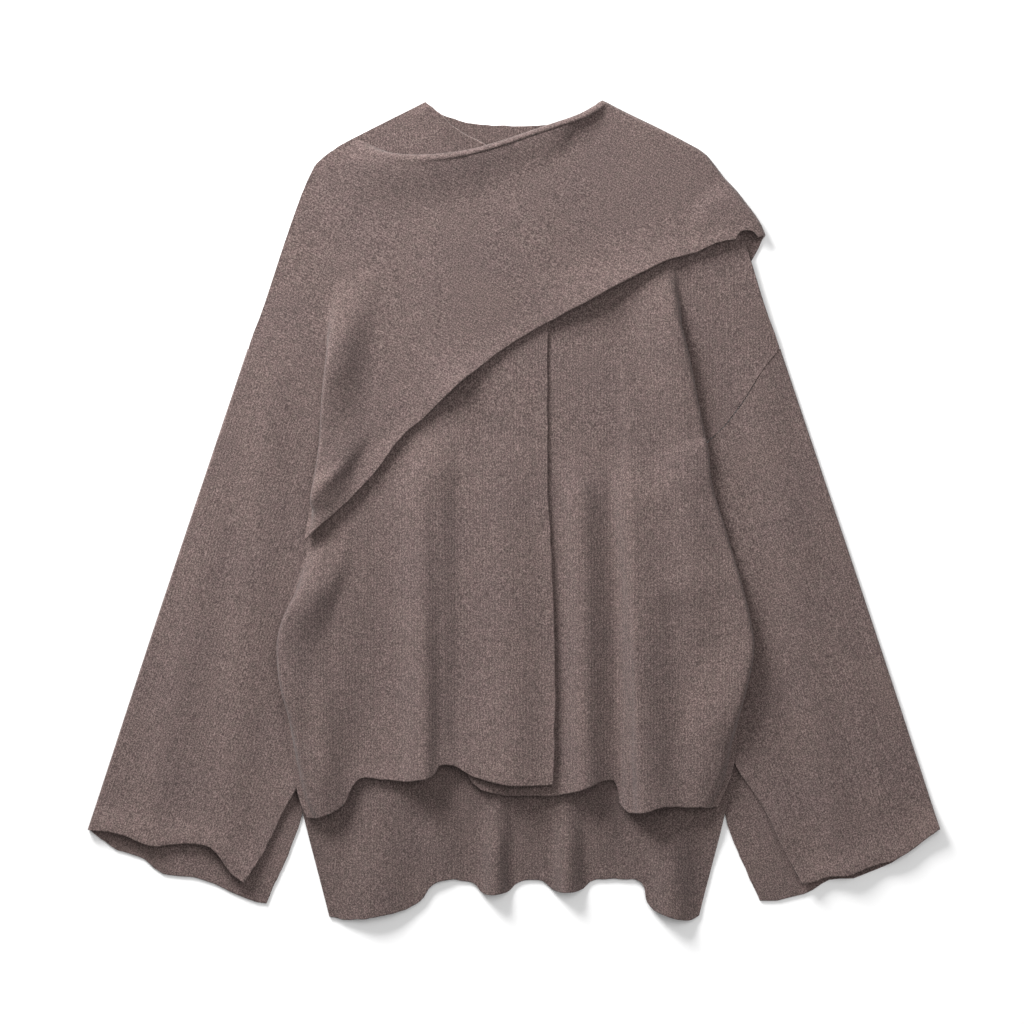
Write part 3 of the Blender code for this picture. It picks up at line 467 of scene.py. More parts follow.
def panel_row(plan, v, guides, counts, top_z, base_z, tuck_table, fold_line, outward, ends, rise):
    """One row of a front or the scarf, from its inner edge out through the side fold."""
    f_fold = crossing(plan, v, fold_line, outward) if fold_line else 1.0
    probe = plan(np.linspace(0, 1, 200), v)
    run = np.r_[0, np.cumsum(np.linalg.norm(np.diff(probe, axis=0), axis=1))]
    total = run[-1]
    q_fold = np.interp(f_fold, np.linspace(0, 1, 200), run)
    turn, tuck, end = (table_at(tuck_table, plan(f_fold, v)[1], c) for c in (1, 2, 3))

    def beyond(hidden_off):
        target = min(total - SEAM, q_fold + end)
        return max(LIP, target - (q_fold + hidden_off))

    out, up, reach = fold_profile(turn, tuck, beyond, ends, f_fold >= 1)
    q_start = q_fold - reach
    if turn < FLAT_TURN:
        out = out * (total - SEAM - q_start) / out[-1]
    marks = [min(np.interp(crossing(plan, v, guide, outward), np.linspace(0, 1, 200), run), q_start * limit)
             for guide, limit in zip(guides, GUIDE_LIMITS)]
    q = np.r_[between(np.array([0.0, *marks, q_start]), counts)[:-1], q_start + out]
    over = np.maximum(q - total, 0)
    xy = plan(np.interp(np.minimum(q, total), run, np.linspace(0, 1, 200)), v)
    ahead = probe[-1] - probe[-2]
    xy = xy + over[:, None] * ahead / np.linalg.norm(ahead)
    count = sum(counts)
    z = base_z(xy[:, 0], xy[:, 1]) + rise + np.r_[np.zeros(count), up]
    draped = top_z(xy[:, 0], xy[:, 1])
    inward = np.clip((q_start - q[:count] - tuck) / FOLD_SPREAD, 0, 1)
    z[:count] = draped[:count] + (z[count] - draped[count]) * (1 - ease(inward))
    return np.column_stack([xy, z])


def sleeve_form(side):
    """Mid height of a sleeve's upper layer, and of the shoulder cloth that runs into it."""

    def at(x, y):
        height = FLOOR_LAYER + PITCH + folds(x, y, FOLDS_SLEEVE[side], SLEEVE_FOLD_RISE)
        if side < 0:
            (x0, y0), (x1, y1) = ARMHOLE[0], ARMHOLE[4]
            away = ((-x - x1) * (y0 - y1) - (y - y1) * (x0 - x1)) / math.hypot(x0 - x1, y0 - y1)
            height = height + PITCH * ease(1 - away / SCARF_STEP_FADE)
        return height

    return at


def sleeve(side, rows, back_cols, top_cols, bend_cols):
    """One cloth round the arm: up the back layer, round the outer fold, back over the upper layer."""
    sign = np.array([side, 1.0])
    form = sleeve_form(side)
    outer = line(inset(SLEEVE_OUTER, PITCH / 2, -1))
    armhole = line(Straight(ARMHOLE[:0:-1] + [tuple(outer(0.0))]))
    layers = []
    for inner, cuff, height in ((SLEEVE_INNER_BACK[side], CUFF_BACK[side], None),
                                (SLEEVE_INNER_TOP[side], CUFF_TOP[side], form)):
        end = outer(1.0)
        hem = line(cuff[:-1] + [tuple(end)])
        plan = plan_of(line(inner), outer, armhole, hem)
        cols = between(armhole.stations, back_cols if height is None else top_cols)
        xy = plan(cols[None, :], rows[:, None]) * sign
        z = np.full(xy.shape[:2], FLOOR_LAYER) if height is None else height(xy[..., 0], xy[..., 1])
        layers.append(np.dstack([xy, z]))
    back, top = layers
    top = top[:, ::-1]
    low, high = back[:, -1], top[:, 0]
    along = np.gradient(low[:, :2], axis=0)
    along /= np.linalg.norm(along, axis=1)[:, None]
    out = np.stack([-along[:, 1], along[:, 0], np.zeros(len(along))], axis=1) * side
    bend = []
    for angle in np.linspace(0, math.pi, bend_cols + 2)[1:-1]:
        middle, half = (low + high) / 2, (high - low) / 2
        bend.append(middle - half * math.cos(angle) + out * (PITCH / 2 * math.sin(angle)))
    return np.concatenate([back, np.stack(bend, axis=1), top], axis=1)


def edge_frame(top_line, place):
    """A point of a top line that runs toward -x, and the plan direction into the cloth there."""
    a, b = top_line(max(place - 0.01, 0.0)), top_line(min(place + 0.01, 1.0))
    along = (b - a) / np.linalg.norm(b - a)
    return top_line(place), np.array([-along[1], along[0]])


def tail_direction(top_line, place):
    """Plan direction of the part behind the shoulder, evened out along the edge."""
    a, b = top_line(max(place - TAIL_EVEN, 0.0)), top_line(min(place + TAIL_EVEN, 1.0))
    along = (b - a) / np.linalg.norm(b - a)
    return turned(np.array([-along[1], along[0]]), table_at(ROLL_SCARF, place, 4))


def turned(direction, degrees):
    c, s = math.cos(math.radians(degrees)), math.sin(math.radians(degrees))
    return np.array([direction[0] * c - direction[1] * s, direction[0] * s + direction[1] * c])


def tail_surface(top_line, places):
    """Upper surface of the scarf's part behind the left shoulder, which lies on the floor."""
    grid = []
    for place in places:
        point, under = top_line(place), tail_direction(top_line, place)
        length = table_at(ROLL_SCARF, place, 3) + TAIL_MARGIN
        grid.append([(*(point + under * length * k / 4), WALL) for k in range(5)])
    return np.array(grid)


def roll_section(place, start_z, bends, unders):
    """Section of the scarf's edge roll: distances outward and heights from its start."""
    radius, turn, tuck = (table_at(ROLL_SCARF, place, c) for c in (1, 2, 3))
    if place < TAIL_END:
        radius = (start_z - FLOOR_LAYER) / 2
    step = math.radians(turn) / bends
    chord = 2 * radius * (math.pi / math.radians(turn)) * math.sin(step / 2)
    out, up = [0.0], [0.0]
    for k in range(bends):
        out.append(out[-1] + chord * math.cos(step * (k + 0.5)))
        up.append(up[-1] - chord * math.sin(step * (k + 0.5)))
    for k in range(unders):
        out.append(out[-1] + tuck / unders * math.cos(math.radians(turn)))
        up.append(up[-1] - tuck / unders * math.sin(math.radians(turn)))
    return np.array(out), np.array(up)


def with_roll(main, top_line, places, bends=6, unders=3):
    """Adds the roll along the neck and the wrap round the left shoulder to the scarf's grid."""
    rolled = np.zeros((bends + unders, main.shape[1], 3))
    for j, place in enumerate(places):
        share = table_at(ROLL_SCARF, place, 5)
        _, fall = roll_section(place, main[0, j, 2], bends, unders)
        away = np.r_[0, np.cumsum(np.linalg.norm(np.diff(main[:, j, :2], axis=0), axis=1))]
        main[:, j, 2] -= share * fall[-1] * (1 - ease(away / ROLL_FADE))
        start = main[0, j]
        out, up = roll_section(place, start[2], bends, unders)
        _, inward = edge_frame(top_line, place)
        under = tail_direction(top_line, place)
        widest = out.max()
        for k in range(bends + unders):
            if out[k + 1] >= widest - 1e-9 or k + 1 <= bends // 2:
                plan = start[:2] - inward * out[k + 1]
            else:
                plan = start[:2] - inward * widest + under * (widest - out[k + 1])
            rolled[k, j] = (*plan, max(start[2] + up[k + 1], FLOOR_LAYER))
    return np.concatenate([rolled[::-1], main], axis=0)


def scarf_lift(x, y):
    """Height of the places where the scarf's raw edge stands clear of the cloth under it."""
    return sum(top * np.exp(-((x - px) / wx) ** 2 - ((y - py) / wy) ** 2)
               for px, py, wx, wy, top in LIFTS_SCARF)


def tip_height(x, y):
    """Mid height of the scarf's open loop at the left shoulder, even round its raw end."""
    x0, y0, flat, fade, top = TIP_LOOP
    return top * (1 - ease((np.hypot(x - x0, y - y0) - flat) / fade))


def between(stations, counts):
    """Fractions that hit every station, with this many even steps between one and the next."""
    steps = [np.linspace(a, b, n + 1)[:-1] for a, b, n in zip(stations[:-1], stations[1:], counts)]
    return np.concatenate(steps + [[stations[-1]]])


def matched(one, other):
    """A boundary line evened so that its stations fall at the other line's fractions."""
    return lambda v: one(np.interp(v, other.stations, one.stations))


def higher(*heights):
    return lambda x, y: np.maximum.reduce([h(x, y) for h in heights])


def raised(height, table):
    return lambda x, y: height(x, y) + folds(x, y, table)


def build_jacket(detail=1):
    """The six sheets, from the floor up, each laid on those before it."""

    def n(count):
        return max(1, int(round(count * detail)))

    sheets = {}
    sleeves = []
    for side, name in ((-1, "sleeve_right"), (1, "sleeve_left")):
        rows = between(np.array([0, 0.2, 0.85, 1]), [n(3), n(6), n(3)])
        mid = sleeve(side, rows, [n(1)] * 7, [n(1), n(2), n(1), n(2), n(2), n(2), n(2)], 3)
        sheets[name] = mid
        sleeves.append(mid)

    def over_sleeves(below, cloth=None):
        """The cloth laid so far, with the sleeves where they lie below this y."""
        height_map = cloth.copy() if cloth else HeightMap()
        for laid in sleeves:
            height_map.lay(laid, lambda x, y: y < below)
        return height_map

    bare = HeightMap()
    scarf_top = line(inset(SCARF_SHOULDER, ROLL_INSET, 1), inset(SCARF_NECK, ROLL_INSET, 1))
    bare.add(tail_surface(scarf_top, np.linspace(0.0, TAIL_END + 0.03, 14)))

    seam_left = inset(ARMHOLE, SEAM, -1)
    seam_left[0] = SHOULDER_LEFT[-1]
    seam_right = inset(mirrored(ARMHOLE), SEAM, 1)
    seam_right[0] = SHOULDER_RIGHT[-1]
    outer = line(SHOULDER_LEFT, seam_left, SIDE_BACK_LEFT)
    inner = matched(line(SHOULDER_RIGHT, seam_right, SIDE_BACK_RIGHT), outer)
    plan = plan_of(inner, outer, line(NECK_BACK), line(HEM_BACK))
    rows = between(outer.stations, [n(5)] + [n(1)] * (len(outer.stations) - 3) + [n(10)])
    xy = plan(np.linspace(0, 1, n(40) + 1)[None, :], rows[:, None])
    lie = higher(over_sleeves(WEDGE_TOP_BACK).drape(), bare.drape(TAIL_SPREAD, TAIL_SOFTEN))
    mid = np.dstack([xy, raised(lie, FOLDS_BACK)(xy[..., 0], xy[..., 1])])
    over_sleeves(WEDGE_TOP_BACK, bare).settle(mid)
    sheets["back"] = mid
    bare.lay(mid)

    full = over_sleeves(REACH_Y, bare).drape(WIDE_SPREAD, WIDE_SOFTEN)
    under = over_sleeves(WEDGE_TOP_FRONT_LEFT, bare).drape()
    seam = Straight(seam_left[:SEAM_IN_VIEW - 1] + [SIDE_FRONT_LEFT[0]])
    outer = line(SHOULDER_LEFT, seam, SIDE_FRONT_LEFT)
    plan = plan_of(line(FRONT_LEFT_EDGE), outer, line(NECK_LEFT_FRONT), line(HEM_FRONT_LEFT))
    rows = between(outer.stations, [n(6), n(1), n(1), n(1), n(1), n(11)])
    mid = body_panel(plan, rows, GUIDES_FRONT_LEFT, [n(8), n(1), n(9)], raised(full, FOLDS_FRONT_LEFT),
                     higher(sleeve_form(1), under), TUCK_FRONT_LEFT, FOLD_LINE_FRONT_LEFT, 1,
                     over_sleeves(WEDGE_TOP_TUCKS, bare))
    sheets["front_left"] = mid
    bare.lay(mid)

    full = over_sleeves(WEDGE_TOP_FRONT_RIGHT, bare).drape(WIDE_SPREAD, WIDE_SOFTEN)
    under = over_sleeves(WEDGE_TOP_FRONT_RIGHT, bare).drape()
    seam = Straight(seam_right[:SEAM_IN_VIEW - 1] + [SIDE_FRONT_RIGHT[0]])
    outer = line(SHOULDER_RIGHT, seam, SIDE_FRONT_RIGHT)
    plan = plan_of(line(FRONT_RIGHT_EDGE), outer, line(NECK_RIGHT_FRONT), line(HEM_FRONT_RIGHT))
    rows = between(outer.stations, [n(5), n(1), n(1), n(1), n(1), n(11)])
    mid = body_panel(plan, rows, GUIDES_FRONT_RIGHT, [n(9), n(1), n(10)], raised(full, FOLDS_FRONT_RIGHT),
                     under, TUCK_FRONT_RIGHT, None, -1, over_sleeves(WEDGE_TOP_TUCKS, bare), 1)
    sheets["front_right"] = mid
    bare.lay(mid)

    full = over_sleeves(REACH_Y, bare).drape(WIDE_SPREAD, WIDE_SOFTEN)
    under = over_sleeves(WEDGE_TOP_SCARF, bare).drape()
    seam = Straight(seam_right[:SEAM_IN_VIEW - 1] + [SCARF_CREASE[0]])
    outer = line([tuple(scarf_top(1.0))] + SCARF_RIGHT[1:], seam, SCARF_CREASE)
    tip = line([tuple(scarf_top(0.0))] + SCARF_TIP)
    plan = plan_of(tip, outer, scarf_top, line(SCARF_HEM))
    rows = between(outer.stations, [n(6), n(1), n(1), n(1), n(1), n(4)])
    over = higher(full, lambda x, y: full(x, y) + scarf_lift(x, y), tip_height)
    mid = body_panel(plan, rows, [], [n(24)], over, higher(sleeve_form(-1), under), TUCK_SCARF,
                     FOLD_LINE_SCARF, -1, over_sleeves(WEDGE_TOP_TUCKS, bare))
    sheets["scarf"] = with_roll(mid, scarf_top, mid_places(scarf_top, mid[0]))
    return sheets


def mid_places(top_line, row):
    """How far along the top line each point of the sheet's first row lies, as a fraction."""
    f = np.linspace(0, 1, 600)
    pts = top_line(f)
    return [float(f[np.argmin(((pts - p[:2]) ** 2).sum(axis=1))]) for p in row]


# Dressing.
DETAIL = 2
FINER = 2
OUTLINE_SHIFT = Vector((0.0, 0.00023, 0.0))

# Raw edges of each grid: first row, last row, first column, last column. 1 is raw, 0 is sewn.
RAW = {
    "back": (1, 1, 0, 0),
    "front_right": (1, 1, 1, 0),
    "front_left": (1, 1, 1, 0),
    "sleeve_right": (0, 1, 1, 1),
    "sleeve_left": (0, 1, 1, 1),
    "scarf": (0, 1, 1, 0),
}
WAVE = 0.9
WAVE_LENGTH = 30.0
WAVE_DEPTH = 7.0
WAVE_ROWS = 6
WAVE_GAIN = 1.3
WAVE_SECOND = 0.6
WAVE_FINER = 2.3
RAGGED = 0.45
RAGGED_LENGTH = 7.0
SWELL = 0.35
SWELL_LENGTH = 46.0
SWELL_SEED = 3.0
# How far raw edges stand up: height, width. The hem, then the upper cloth of a cuff and of its slit.
HEM_LIFT = {"scarf": (3.0, 12.0), "front_right": (2.5, 11.0), "front_left": (2.0, 12.0), "back": (0.8, 10.0)}
CUFF_LIFT = (6.0, 16.0)
SLIT_LIFT = (4.5, 13.0)
# How unevenly they do: length of the change, least share, swing.
LIFT_LENGTH = 34.0
LIFT_LEAST = 0.7
LIFT_SWING = 0.6
LIFT_SEED = 11.0
# The front's neck edge stands up off the back: the line of the edge, then height and width.
NECK_EDGE = [(-74, 370), (-59, 355), (-44, 345), (-31, 338), (-22, 333)]
NECK_LIFT = (6.5, 9.0)
# Folds that stand beside a line, listed from the top: piece, line, height and reach to the left of it, the
# same to its right, where the fold starts and the length over which it comes up. Lines run down the garment.
STANDING = [
    ("front_left", [(83, 49), (88, 31), (91, -28), (94, -75), (95, -133), (96, -204), (96, -266)],
     10.0, 29.0, 20.0, 9.5, 11.0, 78.0, 60, 60),
    ("front_right", [(-49, 90), (-49, -239)], 7.0, 22.0, 60.0, 3.0, 40.0, 36.0, 80, 50),
    ("back", [(-44, -270), (-44, -380)], 3.0, 26.0, 60.0, 3.5, 28.0, 12.0, -284, 26),
    ("back", [(28, -270), (28, -380)], 0.0, 20.0, 20.0, 3.5, 22.0, 16.0, -284, 26),
    ("back", [(96, -270), (96, -380)], 0.0, 20.0, 20.0, 3.5, 46.0, 30.0, -284, 26),
]
# Folds start this far below the scarf's raw edge.
BELOW_SCARF = 12
# The armhole seam that the photograph doesn't show: the overlap, the reach of the blend and the height over
# which the sleeve's upper cloth lies.
SEAM_OVERLAP = 0.3
SEAM_MARGIN = 2
SEAM_BLEND = 9.0
SLEEVE_TOP_LAYER = 3.0
# Distance from an edge to the row of points beside it.
BRACE_RAW = 0.9
BRACE_SEWN = 0.2
# The shoulder cloth is rounded out to the sleeve's fold at the top of the armhole.
SHOULDER_OUT = 2.0
SHOULDER_REACH = 28.0


def upsampled(grid, times, axis):
    """A grid with smooth points added between its own along one axis."""
    grid = np.moveaxis(grid, axis, 0)
    ends = np.concatenate([2 * grid[:1] - grid[1:2], grid, 2 * grid[-1:] - grid[-2:-1]])
    out = []
    for k in range(times):
        t = k / times
        a, b, c, d = ends[:-3], ends[1:-2], ends[2:-1], ends[3:]
        cubic = 0.5 * (2 * b + (c - a) * t + (2 * a - 5 * b + 4 * c - d) * t * t
                       + (3 * b - a - 3 * c + d) * t ** 3)
        linear = b + (c - b) * t
        out.append(0.5 * cubic + 0.5 * linear)
    rows = np.stack(out, axis=1).reshape(-1, *grid.shape[1:])
    return np.moveaxis(np.concatenate([rows, grid[-1:]]), 0, axis)


def edge_wave(x, y, seed):
    """A slow uneven wave along a raw edge, from -1 to 1."""
    return (noise.noise(Vector((x / WAVE_LENGTH, y / WAVE_LENGTH, seed)))
            + WAVE_SECOND * noise.noise(Vector((x * WAVE_FINER / WAVE_LENGTH, y * WAVE_FINER / WAVE_LENGTH,
                                                seed + 7)))
            + RAGGED * noise.noise(Vector((x / RAGGED_LENGTH, y / RAGGED_LENGTH, seed + 3)))) * WAVE_GAIN


def cloth_surface(name, mid):
    """The fine grid of a piece: slow swells, raw edges that waver and stand up, and the main folds."""
    grid = upsampled(upsampled(mid, FINER, 0), FINER, 1)
    for i in range(grid.shape[0]):
        for j in range(grid.shape[1]):
            x, y = grid[i, j, :2]
            grid[i, j, 2] += SWELL * noise.noise(Vector((x / SWELL_LENGTH, y / SWELL_LENGTH, SWELL_SEED)))
    for k, is_raw in enumerate(RAW[name]):
        if not is_raw:
            continue
        axis, at_end = k // 2, k % 2
        rows = np.moveaxis(grid, axis, 0)
        rows = rows[::-1] if at_end else rows
        outward = rows[0] - rows[1]
        outward[:, 2] = 0
        outward /= np.maximum(np.linalg.norm(outward, axis=1), 1e-6)[:, None]
        seed = sum(map(ord, name)) % 31 + axis * 5
        wave = np.array([edge_wave(p[0], p[1], seed) for p in rows[0]])
        for row in range(min(WAVE_ROWS, len(rows))):
            away = np.linalg.norm((rows[row] - rows[0])[:, :2], axis=1)
            fall = np.exp(-(away / WAVE_DEPTH) ** 2)
            rows[row] += outward * (wave * WAVE * fall)[:, None]
    stand_folds(name, grid)
    lift_edges(name, grid)
    if not name.startswith("sleeve"):
        x, y = grid[..., 0], grid[..., 1]
        away = (np.abs(x) - ARMHOLE[0][0]) ** 2 + (y - ARMHOLE[0][1]) ** 2
        near_armhole = np.exp(-away / SHOULDER_REACH ** 2)
        grid[..., 0] += np.sign(x) * SHOULDER_OUT * near_armhole
    grid[..., 2] = np.maximum(grid[..., 2], FLOOR_LAYER + 0.01)
    return grid


def stand_folds(name, grid):
    """Adds the soft ridges on each side of the main creases."""
    x, y = grid[..., 0].copy(), grid[..., 1].copy()
    for piece, places, left, left_at, left_end, right, right_at, right_end, top, rise in STANDING:
        if piece != name:
            continue
        xs, ys = np.array(places, float).T
        away = x - np.interp(-y, -ys, xs)
        side = np.where(away < 0, ease(-away / left_at) * (1 - ease((-away - left_at) / left_end)) * left,
                        ease(away / right_at) * (1 - ease((away - right_at) / right_end)) * right)
        start = np.minimum(top, np.interp(x, *np.array(SCARF_HEM[::-1], float).T) - BELOW_SCARF)
        grid[..., 2] += side * ease((start - y) / rise)


def lift_edges(name, grid):
    """Raw edges, and the right front's neck edge, stand a little clear of the cloth under them."""
    upper = np.ones(grid.shape[:2])
    lifts = []
    if name.startswith("sleeve"):
        upper = ease((grid[..., 2] - FLOOR_LAYER) / PITCH)
        upper[:, :grid.shape[1] // 3] = 0
        lifts = [(np.s_[-1:, :], *CUFF_LIFT), (np.s_[:, -1:], *SLIT_LIFT)]
    elif name in HEM_LIFT:
        lifts = [(np.s_[-1:, :], *HEM_LIFT[name])]
    if name == "front_right":
        xs = np.linspace(NECK_EDGE[0][0], NECK_EDGE[-1][0], 40)
        along = np.stack([xs, np.interp(xs, *np.array(NECK_EDGE, float).T)], axis=-1)
        x, y = grid[..., 0], grid[..., 1]
        near = np.min(np.hypot(x[..., None] - along[:, 0], y[..., None] - along[:, 1]), axis=-1)
        grid[..., 2] += NECK_LIFT[0] * np.exp(-(near / NECK_LIFT[1]) ** 2)
    for edge, height, width in lifts:
        away = np.linalg.norm((grid - grid[edge])[..., :2], axis=-1)
        for i in range(grid.shape[0]):
            for j in range(grid.shape[1]):
                if away[i, j] < 3 * width and upper[i, j] > 0:
                    x, y = grid[i, j, :2]
                    change = noise.noise(Vector((x / LIFT_LENGTH, y / LIFT_LENGTH, LIFT_SEED)))
                    uneven = LIFT_LEAST + LIFT_SWING * change
                    grid[i, j, 2] += height * uneven * upper[i, j] * math.exp(-(away[i, j] / width) ** 2)


def join_seam(scarf, sleeve):
    """Brings the right sleeve's edge to the scarf's along the armhole, where the photograph shows no seam."""
    edge, top = scarf[:, -1], sleeve[0]
    order = np.argsort(edge[:, 1])
    in_reach = (top[:, 1] > ARMHOLE[4][1] + SEAM_MARGIN) & (top[:, 1] < ARMHOLE[0][1])
    on_seam = in_reach & (top[:, 2] > SLEEVE_TOP_LAYER)
    for k in range(3):
        if k == 0:
            x, z = (np.interp(top[:, 1], edge[order, 1], edge[order, axis]) for axis in (0, 2))
            move = np.stack([x + SEAM_OVERLAP - top[:, 0], np.zeros(len(x)), z - top[:, 2]], axis=-1)
            move[~on_seam] = 0
        away = np.linalg.norm((sleeve[k] - sleeve[0])[:, :2], axis=1)
        sleeve[k] += move * np.exp(-(away / SEAM_BLEND) ** 2)[:, None]


def braced(name, grid):
    """Adds a row of points close to each edge, so that the wall's edge stays crisp."""
    for k, raw in enumerate(RAW[name]):
        axis, at_end = k // 2, k % 2
        rows = np.moveaxis(grid, axis, 0)
        rows = rows[::-1] if at_end else rows
        span = np.linalg.norm(rows[1] - rows[0], axis=1)
        share = np.minimum((BRACE_RAW if raw else BRACE_SEWN) / np.maximum(span, 1e-6), 0.5)[:, None]
        rows = np.concatenate([rows[:1], (rows[0] + (rows[1] - rows[0]) * share)[None], rows[1:]])
        rows = rows[::-1] if at_end else rows
        grid = np.moveaxis(rows, 0, axis)
    return grid


def cloth_object(name, grid, fabric):
    """The wall round a fine grid, with how near each point lies to a raw edge kept as an attribute, which the
    material uses to paint a highlight along the raw edges.
    """
    grid = braced(name, grid)
    rows, cols = grid.shape[:2]
    faces = [(i * cols + j, i * cols + j + 1, (i + 1) * cols + j + 1, (i + 1) * cols + j)
             for i in range(rows - 1) for j in range(cols - 1)]
    mesh = bpy.data.meshes.new("cloth_" + name)
    verts = [tuple(Vector(p * MM) + OUTLINE_SHIFT) for p in grid.reshape(-1, 3)]
    mesh.from_pydata(verts, [], faces)
    mesh.update()
    i, j = rows // 2, cols // 2
    if np.cross(grid[i, j + 1] - grid[i, j], grid[i + 1, j] - grid[i, j])[2] > 0:
        mesh.flip_normals()
    raw = RAW[name]
    near = np.zeros((rows, cols))
    for is_raw, line_at in zip(raw, (np.s_[0], np.s_[-1], np.s_[:, 0], np.s_[:, -1])):
        if is_raw:
            near[line_at] = 1.0
    # Painted highlight: points on raw edges are marked 1, and the material paints them paler.
    painted_edge_highlight = mesh.attributes.new("painted_edge_highlight", "FLOAT", "POINT")
    painted_edge_highlight.data.foreach_set("value", near.ravel())
    mesh.shade_smooth()
    mesh.materials.append(fabric)
    piece = bpy.data.objects.new("cloth_" + name, mesh)
    bpy.context.collection.objects.link(piece)
    wall = piece.modifiers.new("wall", "SOLIDIFY")
    wall.thickness = WALL * MM
    wall.offset = 0.0
    wall.use_even_offset = False
    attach(piece, "root")
    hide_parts(name)
    return piece


# Knit. The wale angle is that of the knit's columns, in degrees from +Y toward -X.
BASE = (0.113, 0.079, 0.074)
DARK = (0.048, 0.032, 0.031)
LIGHT = (0.240, 0.180, 0.165)
WALES = {"back": 0, "front_right": 0, "front_left": 0, "sleeve_right": -18.5, "sleeve_left": 18.5,
         "scarf": 62}
# Sizes of the grain, as noise scales: flecks, clouds, slow mottling, and the ribs' bands.
STITCH = 1050.0
CLOUD_SCALE = 210.0
MOTTLE_SCALE = 14.0
RIB_SCALE = 110.0
# The back is painted darker all over: partly painted shade where it lies under the other pieces, partly the
# inside of its knit, which is a little darker.
SHADE_AND_TONE = {"back": 0.9}


def felted_knit(name):
    """Felted melange knit: short flecks of warm and grey yarn along the wales, faint ribs, a soft nap, and a
    painted highlight that makes the raw edges paler.
    """
    fabric = bpy.data.materials.new("felted_" + name)
    fabric.use_nodes = True
    tree = fabric.node_tree
    nodes, links = tree.nodes, tree.links
    shader = nodes["Principled BSDF"]
    place = nodes.new("ShaderNodeTexCoord")
    turn = nodes.new("ShaderNodeMapping")
    turn.inputs["Rotation"].default_value = (0, 0, math.radians(-WALES[name]))
    links.new(place.outputs["Object"], turn.inputs["Vector"])
    squeeze = nodes.new("ShaderNodeMapping")
    squeeze.inputs["Scale"].default_value = (1.0, 0.75, 1.0)
    links.new(turn.outputs["Vector"], squeeze.inputs["Vector"])

    def grain(scale, detail, source=squeeze):
        tex = nodes.new("ShaderNodeTexNoise")
        tex.inputs["Scale"].default_value = scale
        tex.inputs["Detail"].default_value = detail
        tex.inputs["Roughness"].default_value = 0.65
        links.new(source.outputs["Vector"], tex.inputs["Vector"])
        return tex

    def ramp(source, *stops):
        out = nodes.new("ShaderNodeValToRGB")
        band = out.color_ramp
        while len(band.elements) < len(stops):
            band.elements.new(0.5)
        for element, (at, colour) in zip(band.elements, stops):
            element.position = at
            element.color = (*colour, 1.0)
        links.new(source, out.inputs["Fac"])
        return out

    def mixed(kind, factor, first, second):
        out = nodes.new("ShaderNodeMix")
        out.data_type = "RGBA"
        out.blend_type = kind
        out.inputs[0].default_value = factor
        links.new(first, out.inputs[6])
        links.new(second, out.inputs[7])
        return out.outputs[2]

    flecks = ramp(grain(STITCH, 3.0).outputs["Fac"], (0.36, DARK), (0.50, BASE), (0.66, LIGHT))
    clouds = ramp(grain(CLOUD_SCALE, 3.0).outputs["Fac"], (0.33, (0.86, 0.88, 0.86)),
                  (0.67, (1.12, 1.09, 1.10)))
    # Painted shade, in part: the back's mottling colours are darkened throughout.
    shade_and_tone = SHADE_AND_TONE.get(name, 1.0)
    mottle = ramp(grain(MOTTLE_SCALE, 2.0, turn).outputs["Fac"],
                  (0.35, (shade_and_tone * 0.96, shade_and_tone * 0.96, shade_and_tone * 0.97)),
                  (0.65, (shade_and_tone * 1.03, shade_and_tone * 1.03, shade_and_tone * 1.02)))
    wave = nodes.new("ShaderNodeTexWave")
    wave.wave_type = "BANDS"
    wave.bands_direction = "X"
    wave.inputs["Scale"].default_value = RIB_SCALE
    wave.inputs["Distortion"].default_value = 1.2
    wave.inputs["Detail"].default_value = 1.0
    wave.inputs["Detail Scale"].default_value = 2.0
    links.new(turn.outputs["Vector"], wave.inputs["Vector"])
    ribs = ramp(wave.outputs["Fac"], (0.0, (0.92, 0.92, 0.92)), (1.0, (1.06, 1.06, 1.06)))
    colour = mixed("MULTIPLY", 1.0, flecks.outputs["Color"], clouds.outputs["Color"])
    colour = mixed("MULTIPLY", 1.0, colour, mottle.outputs["Color"])
    colour = mixed("MULTIPLY", 1.0, colour, ribs.outputs["Color"])
    # Painted highlight: raw edges are painted up to 28% paler, as if light caught them.
    near = nodes.new("ShaderNodeAttribute")
    near.attribute_name = "painted_edge_highlight"
    edge_highlight_ramp = ramp(near.outputs["Fac"], (0.55, (1.0, 1.0, 1.0)), (1.0, (1.28, 1.26, 1.24)))
    colour = mixed("MULTIPLY", 1.0, colour, edge_highlight_ramp.outputs["Color"])
    links.new(colour, shader.inputs["Base Color"])
    shader.inputs["Roughness"].default_value = 0.95
    shader.inputs["Specular IOR Level"].default_value = 0.15
    shader.inputs["Sheen Weight"].default_value = 0.12
    shader.inputs["Sheen Roughness"].default_value = 0.6
    nap = nodes.new("ShaderNodeBump")
    nap.inputs["Strength"].default_value = 0.35
    nap.inputs["Distance"].default_value = 0.0006
    links.new(grain(STITCH * 0.9, 3.0).outputs["Fac"], nap.inputs["Height"])
    rib_bump = nodes.new("ShaderNodeBump")
    rib_bump.inputs["Strength"].default_value = 0.25
    rib_bump.inputs["Distance"].default_value = 0.0005
    links.new(wave.outputs["Fac"], rib_bump.inputs["Height"])
    links.new(nap.outputs["Normal"], rib_bump.inputs["Normal"])
    links.new(rib_bump.outputs["Normal"], shader.inputs["Normal"])
    return fabric


surfaces = {name: cloth_surface(name, mid) for name, mid in build_jacket(DETAIL).items()}
join_seam(surfaces["scarf"], surfaces["sleeve_right"])
cloths = {name: cloth_object(name, grid, felted_knit(name)) for name, grid in surfaces.items()}

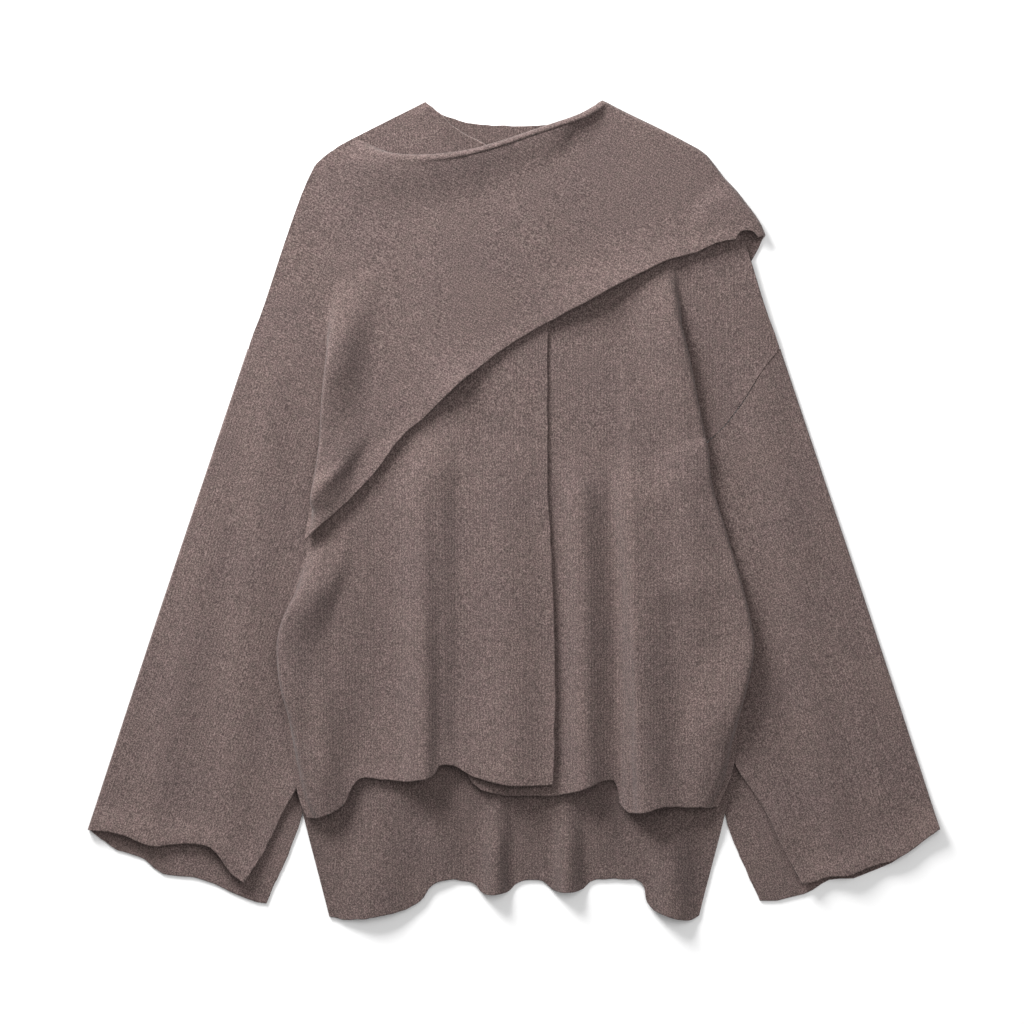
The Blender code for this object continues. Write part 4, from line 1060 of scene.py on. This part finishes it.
# Floor, light and camera.
FLOOR_SIZE = 12.0
floor_mesh = bpy.data.meshes.new("floor")
half = FLOOR_SIZE / 2
corners = [(-half, -half, 0), (half, -half, 0), (half, half, 0), (-half, half, 0)]
floor_mesh.from_pydata(corners, [], [(0, 1, 2, 3)])
floor = bpy.data.objects.new("floor", floor_mesh)
bpy.context.collection.objects.link(floor)
pale = bpy.data.materials.new("pale_floor")
pale.use_nodes = True
pale.node_tree.nodes["Principled BSDF"].inputs["Base Color"].default_value = (0.97, 0.97, 0.97, 1.0)
pale.node_tree.nodes["Principled BSDF"].inputs["Roughness"].default_value = 0.9
floor_mesh.materials.append(pale)


def softbox(name, place, target, size, power):
    lamp = bpy.data.lights.new(name, "AREA")
    lamp.shape = "RECTANGLE"
    lamp.size, lamp.size_y = size
    lamp.energy = power
    holder = bpy.data.objects.new(name, lamp)
    bpy.context.collection.objects.link(holder)
    holder.location = place
    holder.rotation_euler = (Vector(target) - Vector(place)).to_track_quat("-Z", "Y").to_euler()
    return holder


softbox("key", (-1.05, 1.55, 0.95), (0.0, 0.2, 0.0), (0.9, 0.9), 80.0)
softbox("fill", (0.9, 0.7, 3.2), (0.0, 0.0, 0.0), (2.0, 2.0), 38.0)

world = bpy.data.worlds.new("studio")
world.use_nodes = True
world.node_tree.nodes["Background"].inputs["Color"].default_value = (1.0, 1.0, 1.0, 1.0)
world.node_tree.nodes["Background"].inputs["Strength"].default_value = 0.40
bpy.context.scene.world = world
bpy.context.scene.view_settings.view_transform = "Standard"

PIXEL = 0.00092
FRAME_PIXELS = 1024
FRAME_SHIFT = 2
SENSOR = 36.0
CAMERA_HEIGHT = 6.0
view = bpy.data.cameras.new("camera")
view.sensor_width = SENSOR
view.lens = SENSOR * CAMERA_HEIGHT / (FRAME_PIXELS * PIXEL)
view.clip_end = 50.0
camera = bpy.data.objects.new("camera", view)
bpy.context.collection.objects.link(camera)
camera.location = (-FRAME_SHIFT * PIXEL, -FRAME_SHIFT * PIXEL + OUTLINE_SHIFT.y, CAMERA_HEIGHT)
bpy.context.scene.camera = camera
